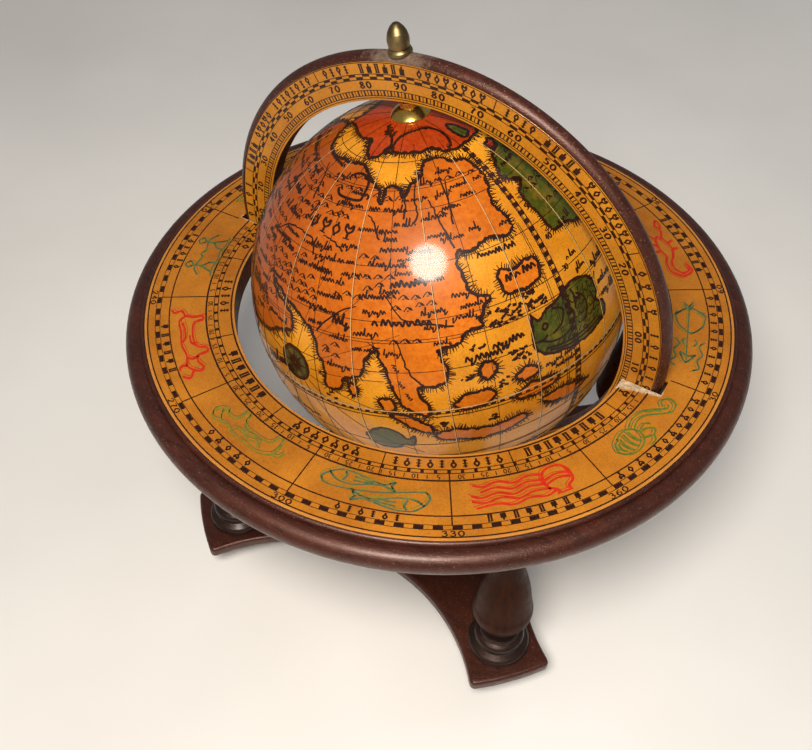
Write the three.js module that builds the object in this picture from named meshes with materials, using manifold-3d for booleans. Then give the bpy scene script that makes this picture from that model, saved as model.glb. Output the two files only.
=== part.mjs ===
// Tabletop globe in a four-legged stand: a turned wooden base, a horizon ring with a printed paper
// face, a sliding meridian ring with printed paper faces, and a hollow globe that spins on two pivots.
//
// Frame: millimetres, +Z up. The origin is on the table, straight below the centre of the globe.
// The meridian ring stands in the XZ plane, and -Y is the front. Heights are taken up from the table.
import * as THREE from 'three';
import { mergeVertices } from 'three/addons/utils/BufferGeometryUtils.js';
import Module from 'manifold-3d';

const wasm = await Module();
wasm.setup();

// ---------------------------------------------------------------- driving dimensions
const GAP = 0.3; // between pieces that touch
const GLOBE_R = 65; // outside of the globe
const GLOBE_WALL = 2.5;
const POLE_ANGLE = 100.5; // the globe's axis, degrees from +X in the XZ plane
const GLOBE_ABOVE_HORIZON = 6.6;
const HOLE_R = 72; // the opening in the horizon ring
const PAPER_R = 103; // the horizon paper's outer edge
const RIM_R = 110.3; // the outside of the horizon ring's moulding
const RING_T = 9.8; // from the paper's face to the ring's underside
const PAPER_T = 0.3;
const MERIDIAN_IN = 70;
const MERIDIAN_OUT = 85.1;
const MERIDIAN_HALF = 2.9; // half the meridian ring's thickness at its rim
const MERIDIAN_PAPER_OUT = 82.6;
const FOOT_H = 14;
const PLATE_T = 5;
const PLATE_R = 99.7; // the disc that the base plate is cut from
const BITE_AT = 121; // centres of the four round bites out of that disc
const BITE_R = 71;
const STAND_H = 103.5; // from the base plate's top to the horizon paper's face
const LEG_AT = 84.3; // the legs' distance from the middle
const LEG_TURN = 2.8; // the base's turn against the meridian, in degrees
const BULB_R = 10.9;
const BULB_Z = 26;
const TENON_R = 3.2;
const SCREW_R = 1.5;
const PIVOT_R = 1.5;
const SCREW_Z = 3.5; // how deep the leg screws' heads are sunk in the feet
const CAP_R = 6.3; // edge of each brass pole cap

const RAD = Math.PI / 180;
const PLATE_TOP = FOOT_H + PLATE_T;
const HORIZON_TOP = PLATE_TOP + STAND_H;
const RING_BOTTOM = HORIZON_TOP - RING_T;
const GLOBE_Z = HORIZON_TOP + GLOBE_ABOVE_HORIZON;
const CORNERS = [
  ['front_right', LEG_TURN - 45],
  ['front_left', LEG_TURN - 135],
  ['back_left', LEG_TURN + 135],
  ['back_right', LEG_TURN + 45],
];

// ---------------------------------------------------------------- materials
const material = (color, roughness, metalness = 0) =>
  new THREE.MeshStandardMaterial({ color, roughness, metalness });
const MAHOGANY = material(0x3a160c, 0.35);
const EBONY = material(0x140c0a, 0.3);
const PEAR_WOOD = material(0x5a2408, 0.3);
const CORE_WOOD = material(0xb98a55, 0.7);
const PRINT = material(0xd28a1e, 0.35);
const CARD = material(0xa88a60, 0.9);
const BRASS = material(0xb5913c, 0.3, 1);
const STEEL = material(0x9a9a9c, 0.35, 1);

// ---------------------------------------------------------------- geometry helpers
// Points of a round stretch of an outline, from one angle to another in degrees.
function arc(x, y, radius, from, to, steps) {
  const points = [];
  for (let i = 0; i <= steps; i++) {
    const a = (from + ((to - from) * i) / steps) * RAD;
    points.push([x + radius * Math.cos(a), y + radius * Math.sin(a)]);
  }
  return points;
}

// A geometry with only positions, shared vertices merged, no empty triangles, and faces pointing out.
function closed(source) {
  const bare = source.clone();
  bare.deleteAttribute('normal');
  bare.deleteAttribute('uv');
  const merged = mergeVertices(bare, 1e-4);
  const place = merged.getAttribute('position');
  const corner = [new THREE.Vector3(), new THREE.Vector3(), new THREE.Vector3()];
  const kept = [];
  let volume = 0;
  for (let i = 0; i < merged.index.count; i += 3) {
    const ids = [0, 1, 2].map((k) => merged.index.getX(i + k));
    if (ids[0] === ids[1] || ids[1] === ids[2] || ids[2] === ids[0]) continue;
    ids.forEach((id, k) => corner[k].fromBufferAttribute(place, id));
    volume += corner[0].dot(corner[1].clone().cross(corner[2]));
    kept.push(ids);
  }
  if (volume < 0) kept.forEach((ids) => ids.reverse());
  merged.setIndex(kept.flat());
  return merged;
}

// A solid of revolution about Z. The profile holds [radius, z] points, from axis to axis or closed.
function turned(profile, segments, loop = false) {
  const points = profile.map(([r, z]) => new THREE.Vector2(r, z));
  if (loop) points.push(points[0].clone());
  return closed(new THREE.LatheGeometry(points, segments).rotateX(Math.PI / 2));
}

function toManifold(geometry) {
  return new wasm.Manifold(
    new wasm.Mesh({
      numProp: 3,
      vertProperties: new Float32Array(geometry.getAttribute('position').array),
      triVerts: new Uint32Array(geometry.index.array),
    }),
  );
}

function cut(body, ...tools) {
  let solid = toManifold(body);
  for (const tool of tools) solid = solid.subtract(toManifold(tool));
  const mesh = solid.getMesh();
  const geometry = new THREE.BufferGeometry();
  geometry.setAttribute('position', new THREE.BufferAttribute(mesh.vertProperties, 3));
  geometry.setIndex(new THREE.BufferAttribute(mesh.triVerts, 1));
  return geometry;
}

// A plain round bar along Z from one height to another.
function bar(radius, low, high, segments = 16) {
  const profile = [[0, low], [radius, low], [radius, high], [0, high]];
  return turned(profile, segments);
}

function block(x0, x1, y0, y1, z0, z1) {
  const box = new THREE.BoxGeometry(x1 - x0, y1 - y0, z1 - z0);
  return closed(box.translate((x0 + x1) / 2, (y0 + y1) / 2, (z0 + z1) / 2));
}

function add(parent, name, geometry, look, x = 0, y = 0, z = 0) {
  const mesh = new THREE.Mesh(geometry, look);
  mesh.name = name;
  mesh.position.set(x, y, z);
  parent.add(mesh);
  return mesh;
}

const around = (angle, radius = LEG_AT) => [radius * Math.cos(angle * RAD), radius * Math.sin(angle * RAD)];

// ---------------------------------------------------------------- stand
// The base plate: a disc with a round bite between each pair of arms.
function plateGeometry() {
  const bevel = 0.7;
  // where a bite's circle meets the disc, as an angle either side of the bite's middle
  const cosine = (PLATE_R ** 2 + BITE_AT ** 2 - BITE_R ** 2) / (2 * PLATE_R * BITE_AT);
  const meet = Math.acos(cosine) / RAD;
  const corner = around(meet, PLATE_R);
  const swing = Math.atan2(corner[1], BITE_AT - corner[0]) / RAD;
  const outline = [];
  for (let side = LEG_TURN; side < 360; side += 90) {
    const [x, y] = around(side, BITE_AT);
    const bite = arc(x, y, BITE_R, side + 180 + swing, side + 180 - swing, 10);
    const end = arc(0, 0, PLATE_R, side + meet, side + 90 - meet, 3);
    outline.push(...bite, ...end.slice(1, -1));
  }
  const shape = new THREE.Shape(outline.map(([x, y]) => new THREE.Vector2(x, y)));
  const options = { depth: PLATE_T - 2 * bevel, bevelThickness: bevel, bevelSize: bevel };
  Object.assign(options, { bevelOffset: -bevel, bevelSegments: 1, steps: 1 });
  const slab = closed(new THREE.ExtrudeGeometry(shape, options).translate(0, 0, FOOT_H + bevel));
  const holes = CORNERS.map(([, angle]) => {
    const [x, y] = around(angle);
    return bar(SCREW_R + GAP, 0, PLATE_TOP + 1, 12).translate(x, y, 0);
  });
  return cut(slab, ...holes, bar(SCREW_R + GAP, 0, PLATE_TOP + 1, 12));
}

// A turned knob with a sunk hole for the head of the screw that holds it.
function footGeometry() {
  const sink = 3.4;
  const top = FOOT_H - GAP;
  const ball = 7.3;
  const profile = [
    [sink, 0],
    [4.9, 0],
    ...arc(0, ball - 1.5, ball, -45, 45, 4),
    [4.6, top - 1.5],
    [5.6, top],
    [SCREW_R + GAP, top],
    [SCREW_R + GAP, SCREW_Z + 2],
    [sink, SCREW_Z + 1.2],
  ];
  return turned(profile, 14, true);
}

// A wood screw with a countersunk head, driven upwards from the foot into the leg.
function screwGeometry(headZ, length) {
  const head = 2.9;
  const profile = [
    [0, headZ],
    [head, headZ],
    [head, headZ + 0.4],
    [SCREW_R - 0.1, headZ + 1.8],
    [SCREW_R - 0.1, headZ + length - 2],
    [0, headZ + length],
  ];
  return turned(profile, 10);
}

// The dark moulded ring at the bottom of each leg, with a bore for the leg's tenon.
function legRingGeometry() {
  const bore = TENON_R + GAP;
  const profile = [
    [bore, 0],
    [11.4, 0],
    [11.4, 3.5],
    [8.6, 5.2],
    [9.2, 6.2],
    [9.2, 8],
    [7.8, 11],
    [bore, 11.2],
  ];
  return turned(profile, 16, true);
}

// The pear-shaped leg, from its lower tenon to the tenon in the horizon ring, z = 0 at the plate.
function legGeometry(height) {
  const tip = SCREW_R + GAP;
  const profile = [
    [0, 18],
    [tip, 17],
    [tip, GAP],
    [TENON_R, GAP],
    [TENON_R, 11.8],
    [6.2, 11.8],
    [6.4, BULB_Z - 9.4],
    ...arc(0, BULB_Z, BULB_R, -50, 16, 3),
    [10, 37.5],
    [7.9, 44.5],
    [5.3, 53],
    [4.2, 70],
    [5.6, 72.5],
    [5.6, 74.5],
    [4.6, 76.5],
    [9.2, height - 4.5],
    [9.2, height - GAP],
    [TENON_R, height - GAP],
    [TENON_R, height + 5.4],
    [0, height + 5.4],
  ];
  return turned(profile, 12);
}

// The horizon ring: a flat seat for the paper, a bead, a groove and a half-round edge.
function horizonGeometry() {
  const seat = -PAPER_T - GAP;
  const edgeR = 3.5;
  const bead = 2.1;
  const profile = [
    [HOLE_R, -RING_T + 0.6],
    [HOLE_R, seat],
    [PAPER_R + GAP, seat],
    [PAPER_R + GAP, 0],
    ...arc(PAPER_R + GAP, -bead, bead, 60, 0, 2),
    [PAPER_R + 1.9, -bead - 0.9],
    ...arc(RIM_R - edgeR, edgeR - RING_T, edgeR, 120, -90, 7),
    [HOLE_R + 0.6, -RING_T],
  ];
  const ring = turned(profile, 64, true).translate(0, 0, HORIZON_TOP);
  const notchEnd = MERIDIAN_OUT + 0.6;
  const wide = MERIDIAN_HALF + GAP;
  const low = RING_BOTTOM - 1;
  const high = HORIZON_TOP + 1;
  const sockets = CORNERS.map(([, angle]) => {
    const [x, y] = around(angle);
    return bar(TENON_R + GAP, low, RING_BOTTOM + 6, 12).translate(x, y, 0);
  });
  const right = block(HOLE_R - 4, notchEnd, -wide, wide, low, high);
  const left = block(-notchEnd, 4 - HOLE_R, -wide, wide, low, high);
  return cut(ring, right, left, ...sockets);
}

// The printed paper, with the same two notches.
function horizonPaperGeometry() {
  const profile = [
    [HOLE_R + 0.1, -PAPER_T],
    [PAPER_R, -PAPER_T],
    [PAPER_R, 0],
    [HOLE_R + 0.1, 0],
  ];
  const sheet = turned(profile, 48, true).translate(0, 0, HORIZON_TOP);
  const notchEnd = MERIDIAN_OUT + 0.6;
  const wide = MERIDIAN_HALF + GAP;
  const low = HORIZON_TOP - 2;
  const high = HORIZON_TOP + 1;
  const right = block(HOLE_R - 4, notchEnd, -wide, wide, low, high);
  const left = block(-notchEnd, 4 - HOLE_R, -wide, wide, low, high);
  return cut(sheet, right, left);
}

// The turned post in the middle of the base, slotted to carry the foot of the meridian ring.
function cradleGeometry() {
  const low = PLATE_TOP + GAP;
  const top = GLOBE_Z - MERIDIAN_OUT + 6;
  const profile = [
    [0, low],
    [14, low],
    [14, low + 3],
    [12.6, low + 4.4],
    [8.4, low + 7],
    [7, low + 11],
    [7.4, low + 15],
    [9.6, low + 20],
    [10.4, low + 24],
    [10.4, top - 1],
    [9.6, top],
    [0, top],
  ];
  const slot = turned(
    [
      [0, -MERIDIAN_HALF - GAP],
      [MERIDIAN_OUT + GAP, -MERIDIAN_HALF - GAP],
      [MERIDIAN_OUT + GAP, MERIDIAN_HALF + GAP],
      [0, MERIDIAN_HALF + GAP],
    ],
    120,
  )
    .rotateX(Math.PI / 2)
    .translate(0, 0, GLOBE_Z);
  return cut(turned(profile, 20), slot, bar(SCREW_R + GAP, 0, low + 14, 12));
}

function buildStand(group) {
  add(group, 'base_plate', plateGeometry(), MAHOGANY);
  const legHeight = RING_BOTTOM - PLATE_TOP;
  for (const [corner, angle] of CORNERS) {
    const [x, y] = around(angle);
    add(group, `foot_${corner}`, footGeometry(), MAHOGANY, x, y, 0);
    add(group, `leg_screw_${corner}`, screwGeometry(SCREW_Z, PLATE_TOP + 15.5 - SCREW_Z), STEEL, x, y, 0);
    add(group, `leg_ring_${corner}`, legRingGeometry(), EBONY, x, y, PLATE_TOP + GAP);
    add(group, `leg_${corner}`, legGeometry(legHeight), PEAR_WOOD, x, y, PLATE_TOP);
  }
  add(group, 'horizon_ring', horizonGeometry(), MAHOGANY);
  add(group, 'horizon_paper', horizonPaperGeometry(), PRINT);
  add(group, 'cradle_post', cradleGeometry(), EBONY);
  add(group, 'cradle_screw', screwGeometry(FOOT_H - 2, PLATE_T + 14), STEEL);
}

// ---------------------------------------------------------------- meridian
// The meridian group's own frame has its origin at the globe's centre and +Z along the globe's axis.
function meridianGeometry() {
  const face = MERIDIAN_HALF - PAPER_T - GAP;
  const lip = MERIDIAN_PAPER_OUT + GAP;
  const round = arc(MERIDIAN_OUT - MERIDIAN_HALF, 0, MERIDIAN_HALF, -60, 60, 4);
  const profile = [
    [MERIDIAN_IN, -face],
    [lip, -face],
    [lip, -MERIDIAN_HALF + 0.25],
    ...round,
    [lip, MERIDIAN_HALF - 0.25],
    [lip, face],
    [MERIDIAN_IN, face],
  ];
  const ring = turned(profile, 64, true).rotateX(Math.PI / 2);
  const through = MERIDIAN_OUT + 5;
  return cut(ring, bar(PIVOT_R + GAP, -through, through, 12));
}

function meridianPaperGeometry(side) {
  const near = MERIDIAN_HALF - PAPER_T;
  const profile = [
    [MERIDIAN_IN + 0.1, near],
    [MERIDIAN_PAPER_OUT, near],
    [MERIDIAN_PAPER_OUT, MERIDIAN_HALF],
    [MERIDIAN_IN + 0.1, MERIDIAN_HALF],
  ];
  return turned(profile, 48, true).rotateX((side * Math.PI) / 2);
}

// Pointed brass knob at the top of the axis, bored for the end of the pivot.
function finialGeometry() {
  const low = MERIDIAN_OUT + 2.1;
  const bore = PIVOT_R + GAP;
  const profile = [
    [0, low + 3],
    [bore, low + 3],
    [bore, low],
    [2.7, low],
    [3.1, low + 0.7],
    [3.1, low + 2.4],
    [2.8, low + 4],
    [2.1, low + 5.5],
    [1.1, low + 6.6],
    [0, low + 7],
  ];
  return turned(profile, 16);
}

function collarGeometry() {
  const low = MERIDIAN_OUT + GAP;
  const profile = [
    [PIVOT_R + GAP, low],
    [3.9, low],
    [3.9, low + 0.8],
    [3, low + 1.5],
    [PIVOT_R + GAP, low + 1.5],
  ];
  return turned(profile, 16, true);
}

// The pins that the globe turns on. The lower one has a flat head, sunk flush in the rim.
function northPivotGeometry() {
  return bar(PIVOT_R, GLOBE_R - 14, MERIDIAN_OUT + 4.6, 12);
}

function southPivotGeometry() {
  return bar(PIVOT_R, -MERIDIAN_OUT + 0.4, -GLOBE_R + 14, 12);
}

function spacerGeometry(side) {
  const low = GLOBE_R + 2.4;
  const high = MERIDIAN_IN - GAP;
  const bore = PIVOT_R + GAP;
  const profile = [[bore, low], [3, low], [3, high], [bore, high]];
  return turned(profile.map(([r, z]) => [r, side * z]), 12, true);
}

// ---------------------------------------------------------------- globe
// One paper-covered half of the globe, open at its pole for the pivot.
function halfGlobeGeometry(side) {
  const inner = GLOBE_R - GLOBE_WALL;
  const poleHole = 3.5;
  const seam = 0.15;
  const outerTop = Math.acos(poleHole / GLOBE_R) / RAD;
  const innerTop = Math.acos(poleHole / inner) / RAD;
  const profile = [
    ...arc(0, 0, GLOBE_R, (Math.asin(seam / GLOBE_R)) / RAD, outerTop, 9),
    ...arc(0, 0, inner, innerTop, (Math.asin(seam / inner)) / RAD, 5),
  ];
  return turned(profile.map(([r, z]) => [r, side * z]), 36, true);
}

// The card hoop inside the equator that joins the two halves.
function hoopGeometry() {
  const half = 6;
  const outer = GLOBE_R - GLOBE_WALL - 2;
  const profile = [[outer - 1.5, -half], [outer, -half], [outer, half], [outer - 1.5, half]];
  return turned(profile, 36, true);
}

// The wooden rod between the poles, with a blind bore in each end for a pivot.
function coreGeometry() {
  const end = GLOBE_R - GLOBE_WALL - 1;
  const bore = PIVOT_R + 0.1;
  const depth = 12.5;
  const profile = [
    [0, depth - end],
    [bore, depth - end],
    [bore, -end],
    [5, -end],
    [5, end],
    [bore, end],
    [bore, end - depth],
    [0, end - depth],
  ];
  return turned(profile, 12);
}

// A domed brass cap over each pole.
function capGeometry(side) {
  const low = GLOBE_R + GAP;
  const edge = Math.acos(CAP_R / low) / RAD;
  const bore = PIVOT_R + 0.1;
  const inside = arc(0, 0, low, edge, Math.acos(bore / low) / RAD, 2);
  const profile = [
    ...inside,
    [bore, GLOBE_R + 2.1],
    [3.4, GLOBE_R + 1.8],
    [5.4, GLOBE_R + 1.1],
    [CAP_R + 0.1, GLOBE_R + 0.3],
  ];
  return turned(profile.map(([r, z]) => [r, side * z]), 20, true);
}

function buildTop(group) {
  const axis = new THREE.Group();
  axis.position.set(0, 0, GLOBE_Z);
  axis.rotation.y = (90 - POLE_ANGLE) * RAD;
  group.add(axis);
  add(axis, 'meridian_ring', meridianGeometry(), MAHOGANY);
  add(axis, 'meridian_paper_front', meridianPaperGeometry(1), PRINT);
  add(axis, 'meridian_paper_back', meridianPaperGeometry(-1), PRINT);
  add(axis, 'finial_collar', collarGeometry(), BRASS);
  add(axis, 'finial', finialGeometry(), BRASS);
  add(axis, 'north_pivot', northPivotGeometry(), BRASS);
  add(axis, 'south_pivot', southPivotGeometry(), BRASS);
  add(axis, 'north_spacer', spacerGeometry(1), BRASS);
  add(axis, 'south_spacer', spacerGeometry(-1), BRASS);
  add(axis, 'globe_north', halfGlobeGeometry(1), PRINT);
  add(axis, 'globe_south', halfGlobeGeometry(-1), PRINT);
  add(axis, 'globe_hoop', hoopGeometry(), CARD);
  add(axis, 'globe_core', coreGeometry(), CORE_WOOD);
  add(axis, 'cap_north', capGeometry(1), BRASS);
  add(axis, 'cap_south', capGeometry(-1), BRASS);
}

const globe = new THREE.Group();
buildStand(globe);
buildTop(globe);
export default globe;
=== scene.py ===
"""Looks of a tabletop globe in a turned wooden stand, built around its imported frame.

Lengths are in millimetres until a mesh is made. The origin is on the table under the globe's
centre, +Z is up, the meridian ring lies in the XZ plane and -Y is the front.
"""

import math
import random

import bpy
from mathutils import Matrix, Vector, noise
from mathutils.geometry import delaunay_2d_cdt


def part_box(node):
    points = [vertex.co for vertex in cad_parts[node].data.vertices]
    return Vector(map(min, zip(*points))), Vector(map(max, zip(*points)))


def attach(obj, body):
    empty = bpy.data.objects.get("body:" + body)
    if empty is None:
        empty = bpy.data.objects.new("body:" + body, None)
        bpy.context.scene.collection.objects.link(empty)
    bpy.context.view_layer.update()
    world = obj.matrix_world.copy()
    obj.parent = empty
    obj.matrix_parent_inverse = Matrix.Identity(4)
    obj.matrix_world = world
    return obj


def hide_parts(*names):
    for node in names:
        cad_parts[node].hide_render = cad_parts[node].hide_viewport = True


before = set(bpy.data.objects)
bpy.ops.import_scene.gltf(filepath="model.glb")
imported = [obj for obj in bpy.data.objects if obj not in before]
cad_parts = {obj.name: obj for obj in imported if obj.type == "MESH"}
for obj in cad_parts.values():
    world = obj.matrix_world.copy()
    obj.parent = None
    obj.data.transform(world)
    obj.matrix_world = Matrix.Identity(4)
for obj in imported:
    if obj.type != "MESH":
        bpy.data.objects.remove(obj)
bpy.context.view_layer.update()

MM = 0.001

# ---------------------------------------------------------------- driving dimensions
HORIZON_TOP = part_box("horizon_paper")[1].z / MM
GLOBE_Z = sum(corner.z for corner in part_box("meridian_ring")) / 2 / MM
GLOBE_R = 65
GLOBE_WALL = 2.5  # card
SEAM_GAP = 0.14  # degrees from the equator to the edge of either half
POLE_ANGLE = 100.5  # the globe's axis, degrees from +X in the XZ plane
HOLE_R = 72  # the opening in the horizon ring
PAPER_R = 103  # the edge of the horizon's paper
RIM_R = 110.3  # the horizon ring's outer edge
RING_T = 9.8
PAPER_T = 0.3
MERIDIAN_IN = 70  # the meridian ring's radii, and half its thickness
MERIDIAN_OUT = 85.1
MERIDIAN_HALF = 2.9
MERIDIAN_PAPER_OUT = 82.6
FOOT_H = 14
PLATE_T = 5
PLATE_TOP = FOOT_H + PLATE_T
PLATE_R = 99.7
PLATE_EDGE = 1.3  # the radius that rounds the plate's edge
BITE_AT = 121  # how far out the four round bites have their centres
BITE_R = 71
LEG_AT = 84.3  # how far out the legs stand, and how far they are turned from the diagonals
LEG_TURN = 2.8
BULB_R = 10.9  # the leg's widest part, and how high it is over the plate
BULB_Z = 26
CAP_R = 6.3  # the brass caps over the poles
SLIT = MERIDIAN_HALF + 0.3  # half the width of the notches and of the post's slot
VARNISH = 0.34  # how much of the varnish shows on paper and ink
VARNISH_ROUGH = 0.12
LACQUER_ROUGH = 0.26
PAINTED_WARM_REFLECTION = (1, 0.58, 0.46, 1)  # a warm tint on everything the wood reflects: a painted reflection of warm surroundings
PRINT_TURN = 2.9  # the horizon print's turn against the meridian, in degrees
LEG_HEIGHT = HORIZON_TOP - RING_T - PLATE_TOP
CORNERS = {
    "front_right": LEG_TURN - 45,
    "front_left": LEG_TURN - 135,
    "back_left": LEG_TURN + 135,
    "back_right": LEG_TURN + 45,
}
AXIS = Matrix.Translation((0, 0, GLOBE_Z)) @ Matrix.Rotation(math.radians(90 - POLE_ANGLE), 4, "Y")
FINIAL_FOOT = AXIS @ Vector((0, 0, MERIDIAN_OUT)) * MM


def on_axis(turn):
    """The globe's frame, turned about X: 180 degrees puts +Z on the south pole."""
    return AXIS @ Matrix.Rotation(math.radians(turn), 4, "X")


def worn_to(radius):
    """How far from the X axis the print is rubbed off in front of the right notch."""
    return 7.6 - 3.6 * (radius - HOLE_R) / (MERIDIAN_OUT - HOLE_R)


# ---------------------------------------------------------------- outlines
def polar(angle, radius):
    return radius * math.cos(math.radians(angle)), radius * math.sin(math.radians(angle))


def arc(x, y, radius, start, end, steps):
    """Points of an arc about (x, y), from one angle to another in degrees."""
    turned_by = [start + (end - start) * i / steps for i in range(steps + 1)]
    return [(x + polar(a, radius)[0], y + polar(a, radius)[1]) for a in turned_by]


def lifted(points, by):
    """The same (r, z) points, higher up."""
    return [(r, by + z) for r, z in points]


def curve(points, steps=6, loop=False):
    """A smooth line through the points, with as many steps between each two of them."""
    if len(points) < 3:
        return list(points)
    count = len(points)
    smooth = []
    for i in range(count if loop else count - 1):
        if loop:
            a, b, c, d = (points[(i + k) % count] for k in (-1, 0, 1, 2))
        else:
            a, b, c, d = (points[min(max(i + k, 0), count - 1)] for k in (-1, 0, 1, 2))
        for step in range(steps):
            t = step / steps
            weights = (
                -0.5 * t + t * t - 0.5 * t**3,
                1 - 2.5 * t * t + 1.5 * t**3,
                0.5 * t + 2 * t * t - 1.5 * t**3,
                -0.5 * t * t + 0.5 * t**3,
            )
            smooth.append(tuple(sum(w * p[k] for w, p in zip(weights, (a, b, c, d))) for k in range(len(a))))
    if not loop:
        smooth.append(tuple(points[-1]))
    return smooth


# ---------------------------------------------------------------- node materials
class Look:
    """A Principled material and the short calls that build its nodes."""

    def __init__(self, name, **settings):
        self.material = bpy.data.materials.new(name)
        self.material.use_nodes = True
        self.nodes = self.material.node_tree.nodes
        self.shader = self.nodes["Principled BSDF"]
        for socket, value in settings.items():
            self.shader.inputs[socket.replace("_", " ")].default_value = value
        self.where = self.nodes.new("ShaderNodeTexCoord").outputs["Object"]

    def link(self, source, target):
        self.material.node_tree.links.new(source, target)

    def socket(self, name, source):
        self.link(source, self.shader.inputs[name])

    def math(self, operation, *values):
        node = self.nodes.new("ShaderNodeMath")
        node.operation = operation
        for place, value in zip(node.inputs, values):
            if isinstance(value, (int, float)):
                place.default_value = value
            else:
                self.link(value, place)
        return node.outputs[0]

    def noise(self, scale, detail=3, stretch=(1, 1, 1), rough=0.55):
        """Noise of that many cells in a metre, stretched along the axes."""
        mapping = self.nodes.new("ShaderNodeMapping")
        mapping.inputs["Scale"].default_value = stretch
        self.link(self.where, mapping.inputs["Vector"])
        node = self.nodes.new("ShaderNodeTexNoise")
        node.inputs["Scale"].default_value = scale
        node.inputs["Detail"].default_value = detail
        node.inputs["Roughness"].default_value = rough
        self.link(mapping.outputs[0], node.inputs["Vector"])
        return node.outputs["Fac"]

    def axis(self, name):
        node = self.nodes.new("ShaderNodeSeparateXYZ")
        self.link(self.where, node.inputs[0])
        return node.outputs[name]

    def distance(self, point):
        """How far the shaded spot is from a point, in metres."""
        node = self.nodes.new("ShaderNodeVectorMath")
        node.operation = "DISTANCE"
        self.link(self.where, node.inputs[0])
        node.inputs[1].default_value = point
        return node.outputs["Value"]

    def spread(self, value, low, high, out_low=0.0, out_high=1.0):
        """The value from low to high, mapped to another range and held there."""
        node = self.nodes.new("ShaderNodeMapRange")
        self.link(value, node.inputs["Value"])
        limits = {"From Min": low, "From Max": high, "To Min": out_low, "To Max": out_high}
        for name, number in limits.items():
            node.inputs[name].default_value = number
        return node.outputs[0]

    def ramp(self, value, *stops):
        """A colour ramp. Each stop is a place and an sRGB colour from 0 to 255."""
        node = self.nodes.new("ShaderNodeValToRGB")
        elements = node.color_ramp.elements
        while len(elements) < len(stops):
            elements.new(0.5)
        for element, (place, colour) in zip(elements, stops):
            element.position = place
            element.color = shade(*colour)
        self.link(value, node.inputs[0])
        return node.outputs[0]

    def mix(self, share, first, second):
        node = self.nodes.new("ShaderNodeMix")
        node.data_type = "RGBA"
        sockets = [node.inputs[i] for i in (0, 6, 7)]
        for place, value in zip(sockets, (share, first, second)):
            if isinstance(value, (int, float, tuple)):
                place.default_value = value
            else:
                self.link(value, place)
        return node.outputs[2]

    def bump(self, *layers):
        """Small relief. Each layer is a height from 0 to 1, its depth in millimetres and a strength."""
        normal = None
        for height, depth, strength in layers:
            node = self.nodes.new("ShaderNodeBump")
            node.inputs["Distance"].default_value = depth * MM
            node.inputs["Strength"].default_value = strength
            self.link(height, node.inputs["Height"])
            if normal:
                self.link(normal, node.inputs["Normal"])
            normal = node.outputs[0]
        self.socket("Normal", normal)


def shade(red, green, blue):
    """Linear colour from sRGB numbers between 0 and 255."""
    linear = [((c / 255 + 0.055) / 1.055) ** 2.4 if c > 10 else c / 255 / 12.92 for c in (red, green, blue)]
    return (*linear, 1.0)


def dust_film(look, colour, spot):
    """A ragged grey film of dust, thickest near the spot and gone 26 mm away from it."""
    ragged = look.math("MULTIPLY", look.noise(480, 5, rough=0.75), 0.026)
    film = look.spread(look.math("ADD", look.distance(spot), ragged), 0.026, 0.014, 0.0, 0.55)
    return look.mix(film, colour, shade(146, 128, 110))


def dark_wood(name, stops, grain, coat, gloss, dust=0.0, painted_shade_below=None, dusty_spot=None):
    """Stained and lacquered wood: long grain, open pores, a speckled satin lacquer and some dust.

    Under an optional height in millimetres the wood is painted nearly black: painted shade where it lies in
    a recess.
    Dusty_spot is a point in metres with a grey film of dust round it.
    """
    look = Look(
        name,
        Coat_Weight=coat,
        Coat_Roughness=LACQUER_ROUGH,
        Specular_IOR_Level=gloss,
        # painted reflection: every reflection from the wood is tinted warm
        Specular_Tint=PAINTED_WARM_REFLECTION,
    )
    streaks = look.noise(320, 5, grain, 0.62)
    patches = look.noise(34, 3)
    pores = look.noise(1300, 2, tuple(g * 0.7 for g in grain), 0.4)
    mottle = look.noise(420, 3)
    speckle = look.noise(2400, 2)
    colour = look.ramp(streaks, *stops)
    colour = look.mix(look.spread(patches, 0.35, 0.7, 0.0, 0.5), colour, shade(*stops[0][1]))
    colour = look.mix(look.spread(pores, 0.6, 0.7, 0.0, 0.7), colour, shade(22, 8, 5))
    if dust:
        colour = look.mix(look.spread(look.noise(1700, 2), 0.62, 0.7, 0.0, dust), colour, shade(126, 98, 78))
    # painted shade: under that height the wood is painted nearly black, for the shade in the recess below a
    # bulge
    if painted_shade_below:
        stain_and_painted_shade = look.spread(look.axis("Z"), (painted_shade_below + 0.6) * MM, (painted_shade_below - 0.6) * MM)
        colour = look.mix(stain_and_painted_shade, colour, shade(24, 12, 8))
    if dusty_spot:
        colour = dust_film(look, colour, dusty_spot)
    look.socket("Base Color", colour)
    look.socket("Roughness", look.spread(mottle, 0.3, 0.7, 0.34, 0.5))
    look.bump((streaks, 0.06, 0.15), (pores, 0.08, 0.25), (speckle, 0.16, 0.8))
    return look.material


def varnished(name):
    """The start of every look under the glossy varnish, paper and ink alike."""
    return Look(name, Coat_Weight=VARNISH, Coat_Roughness=VARNISH_ROUGH, Specular_IOR_Level=0.16)


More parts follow.
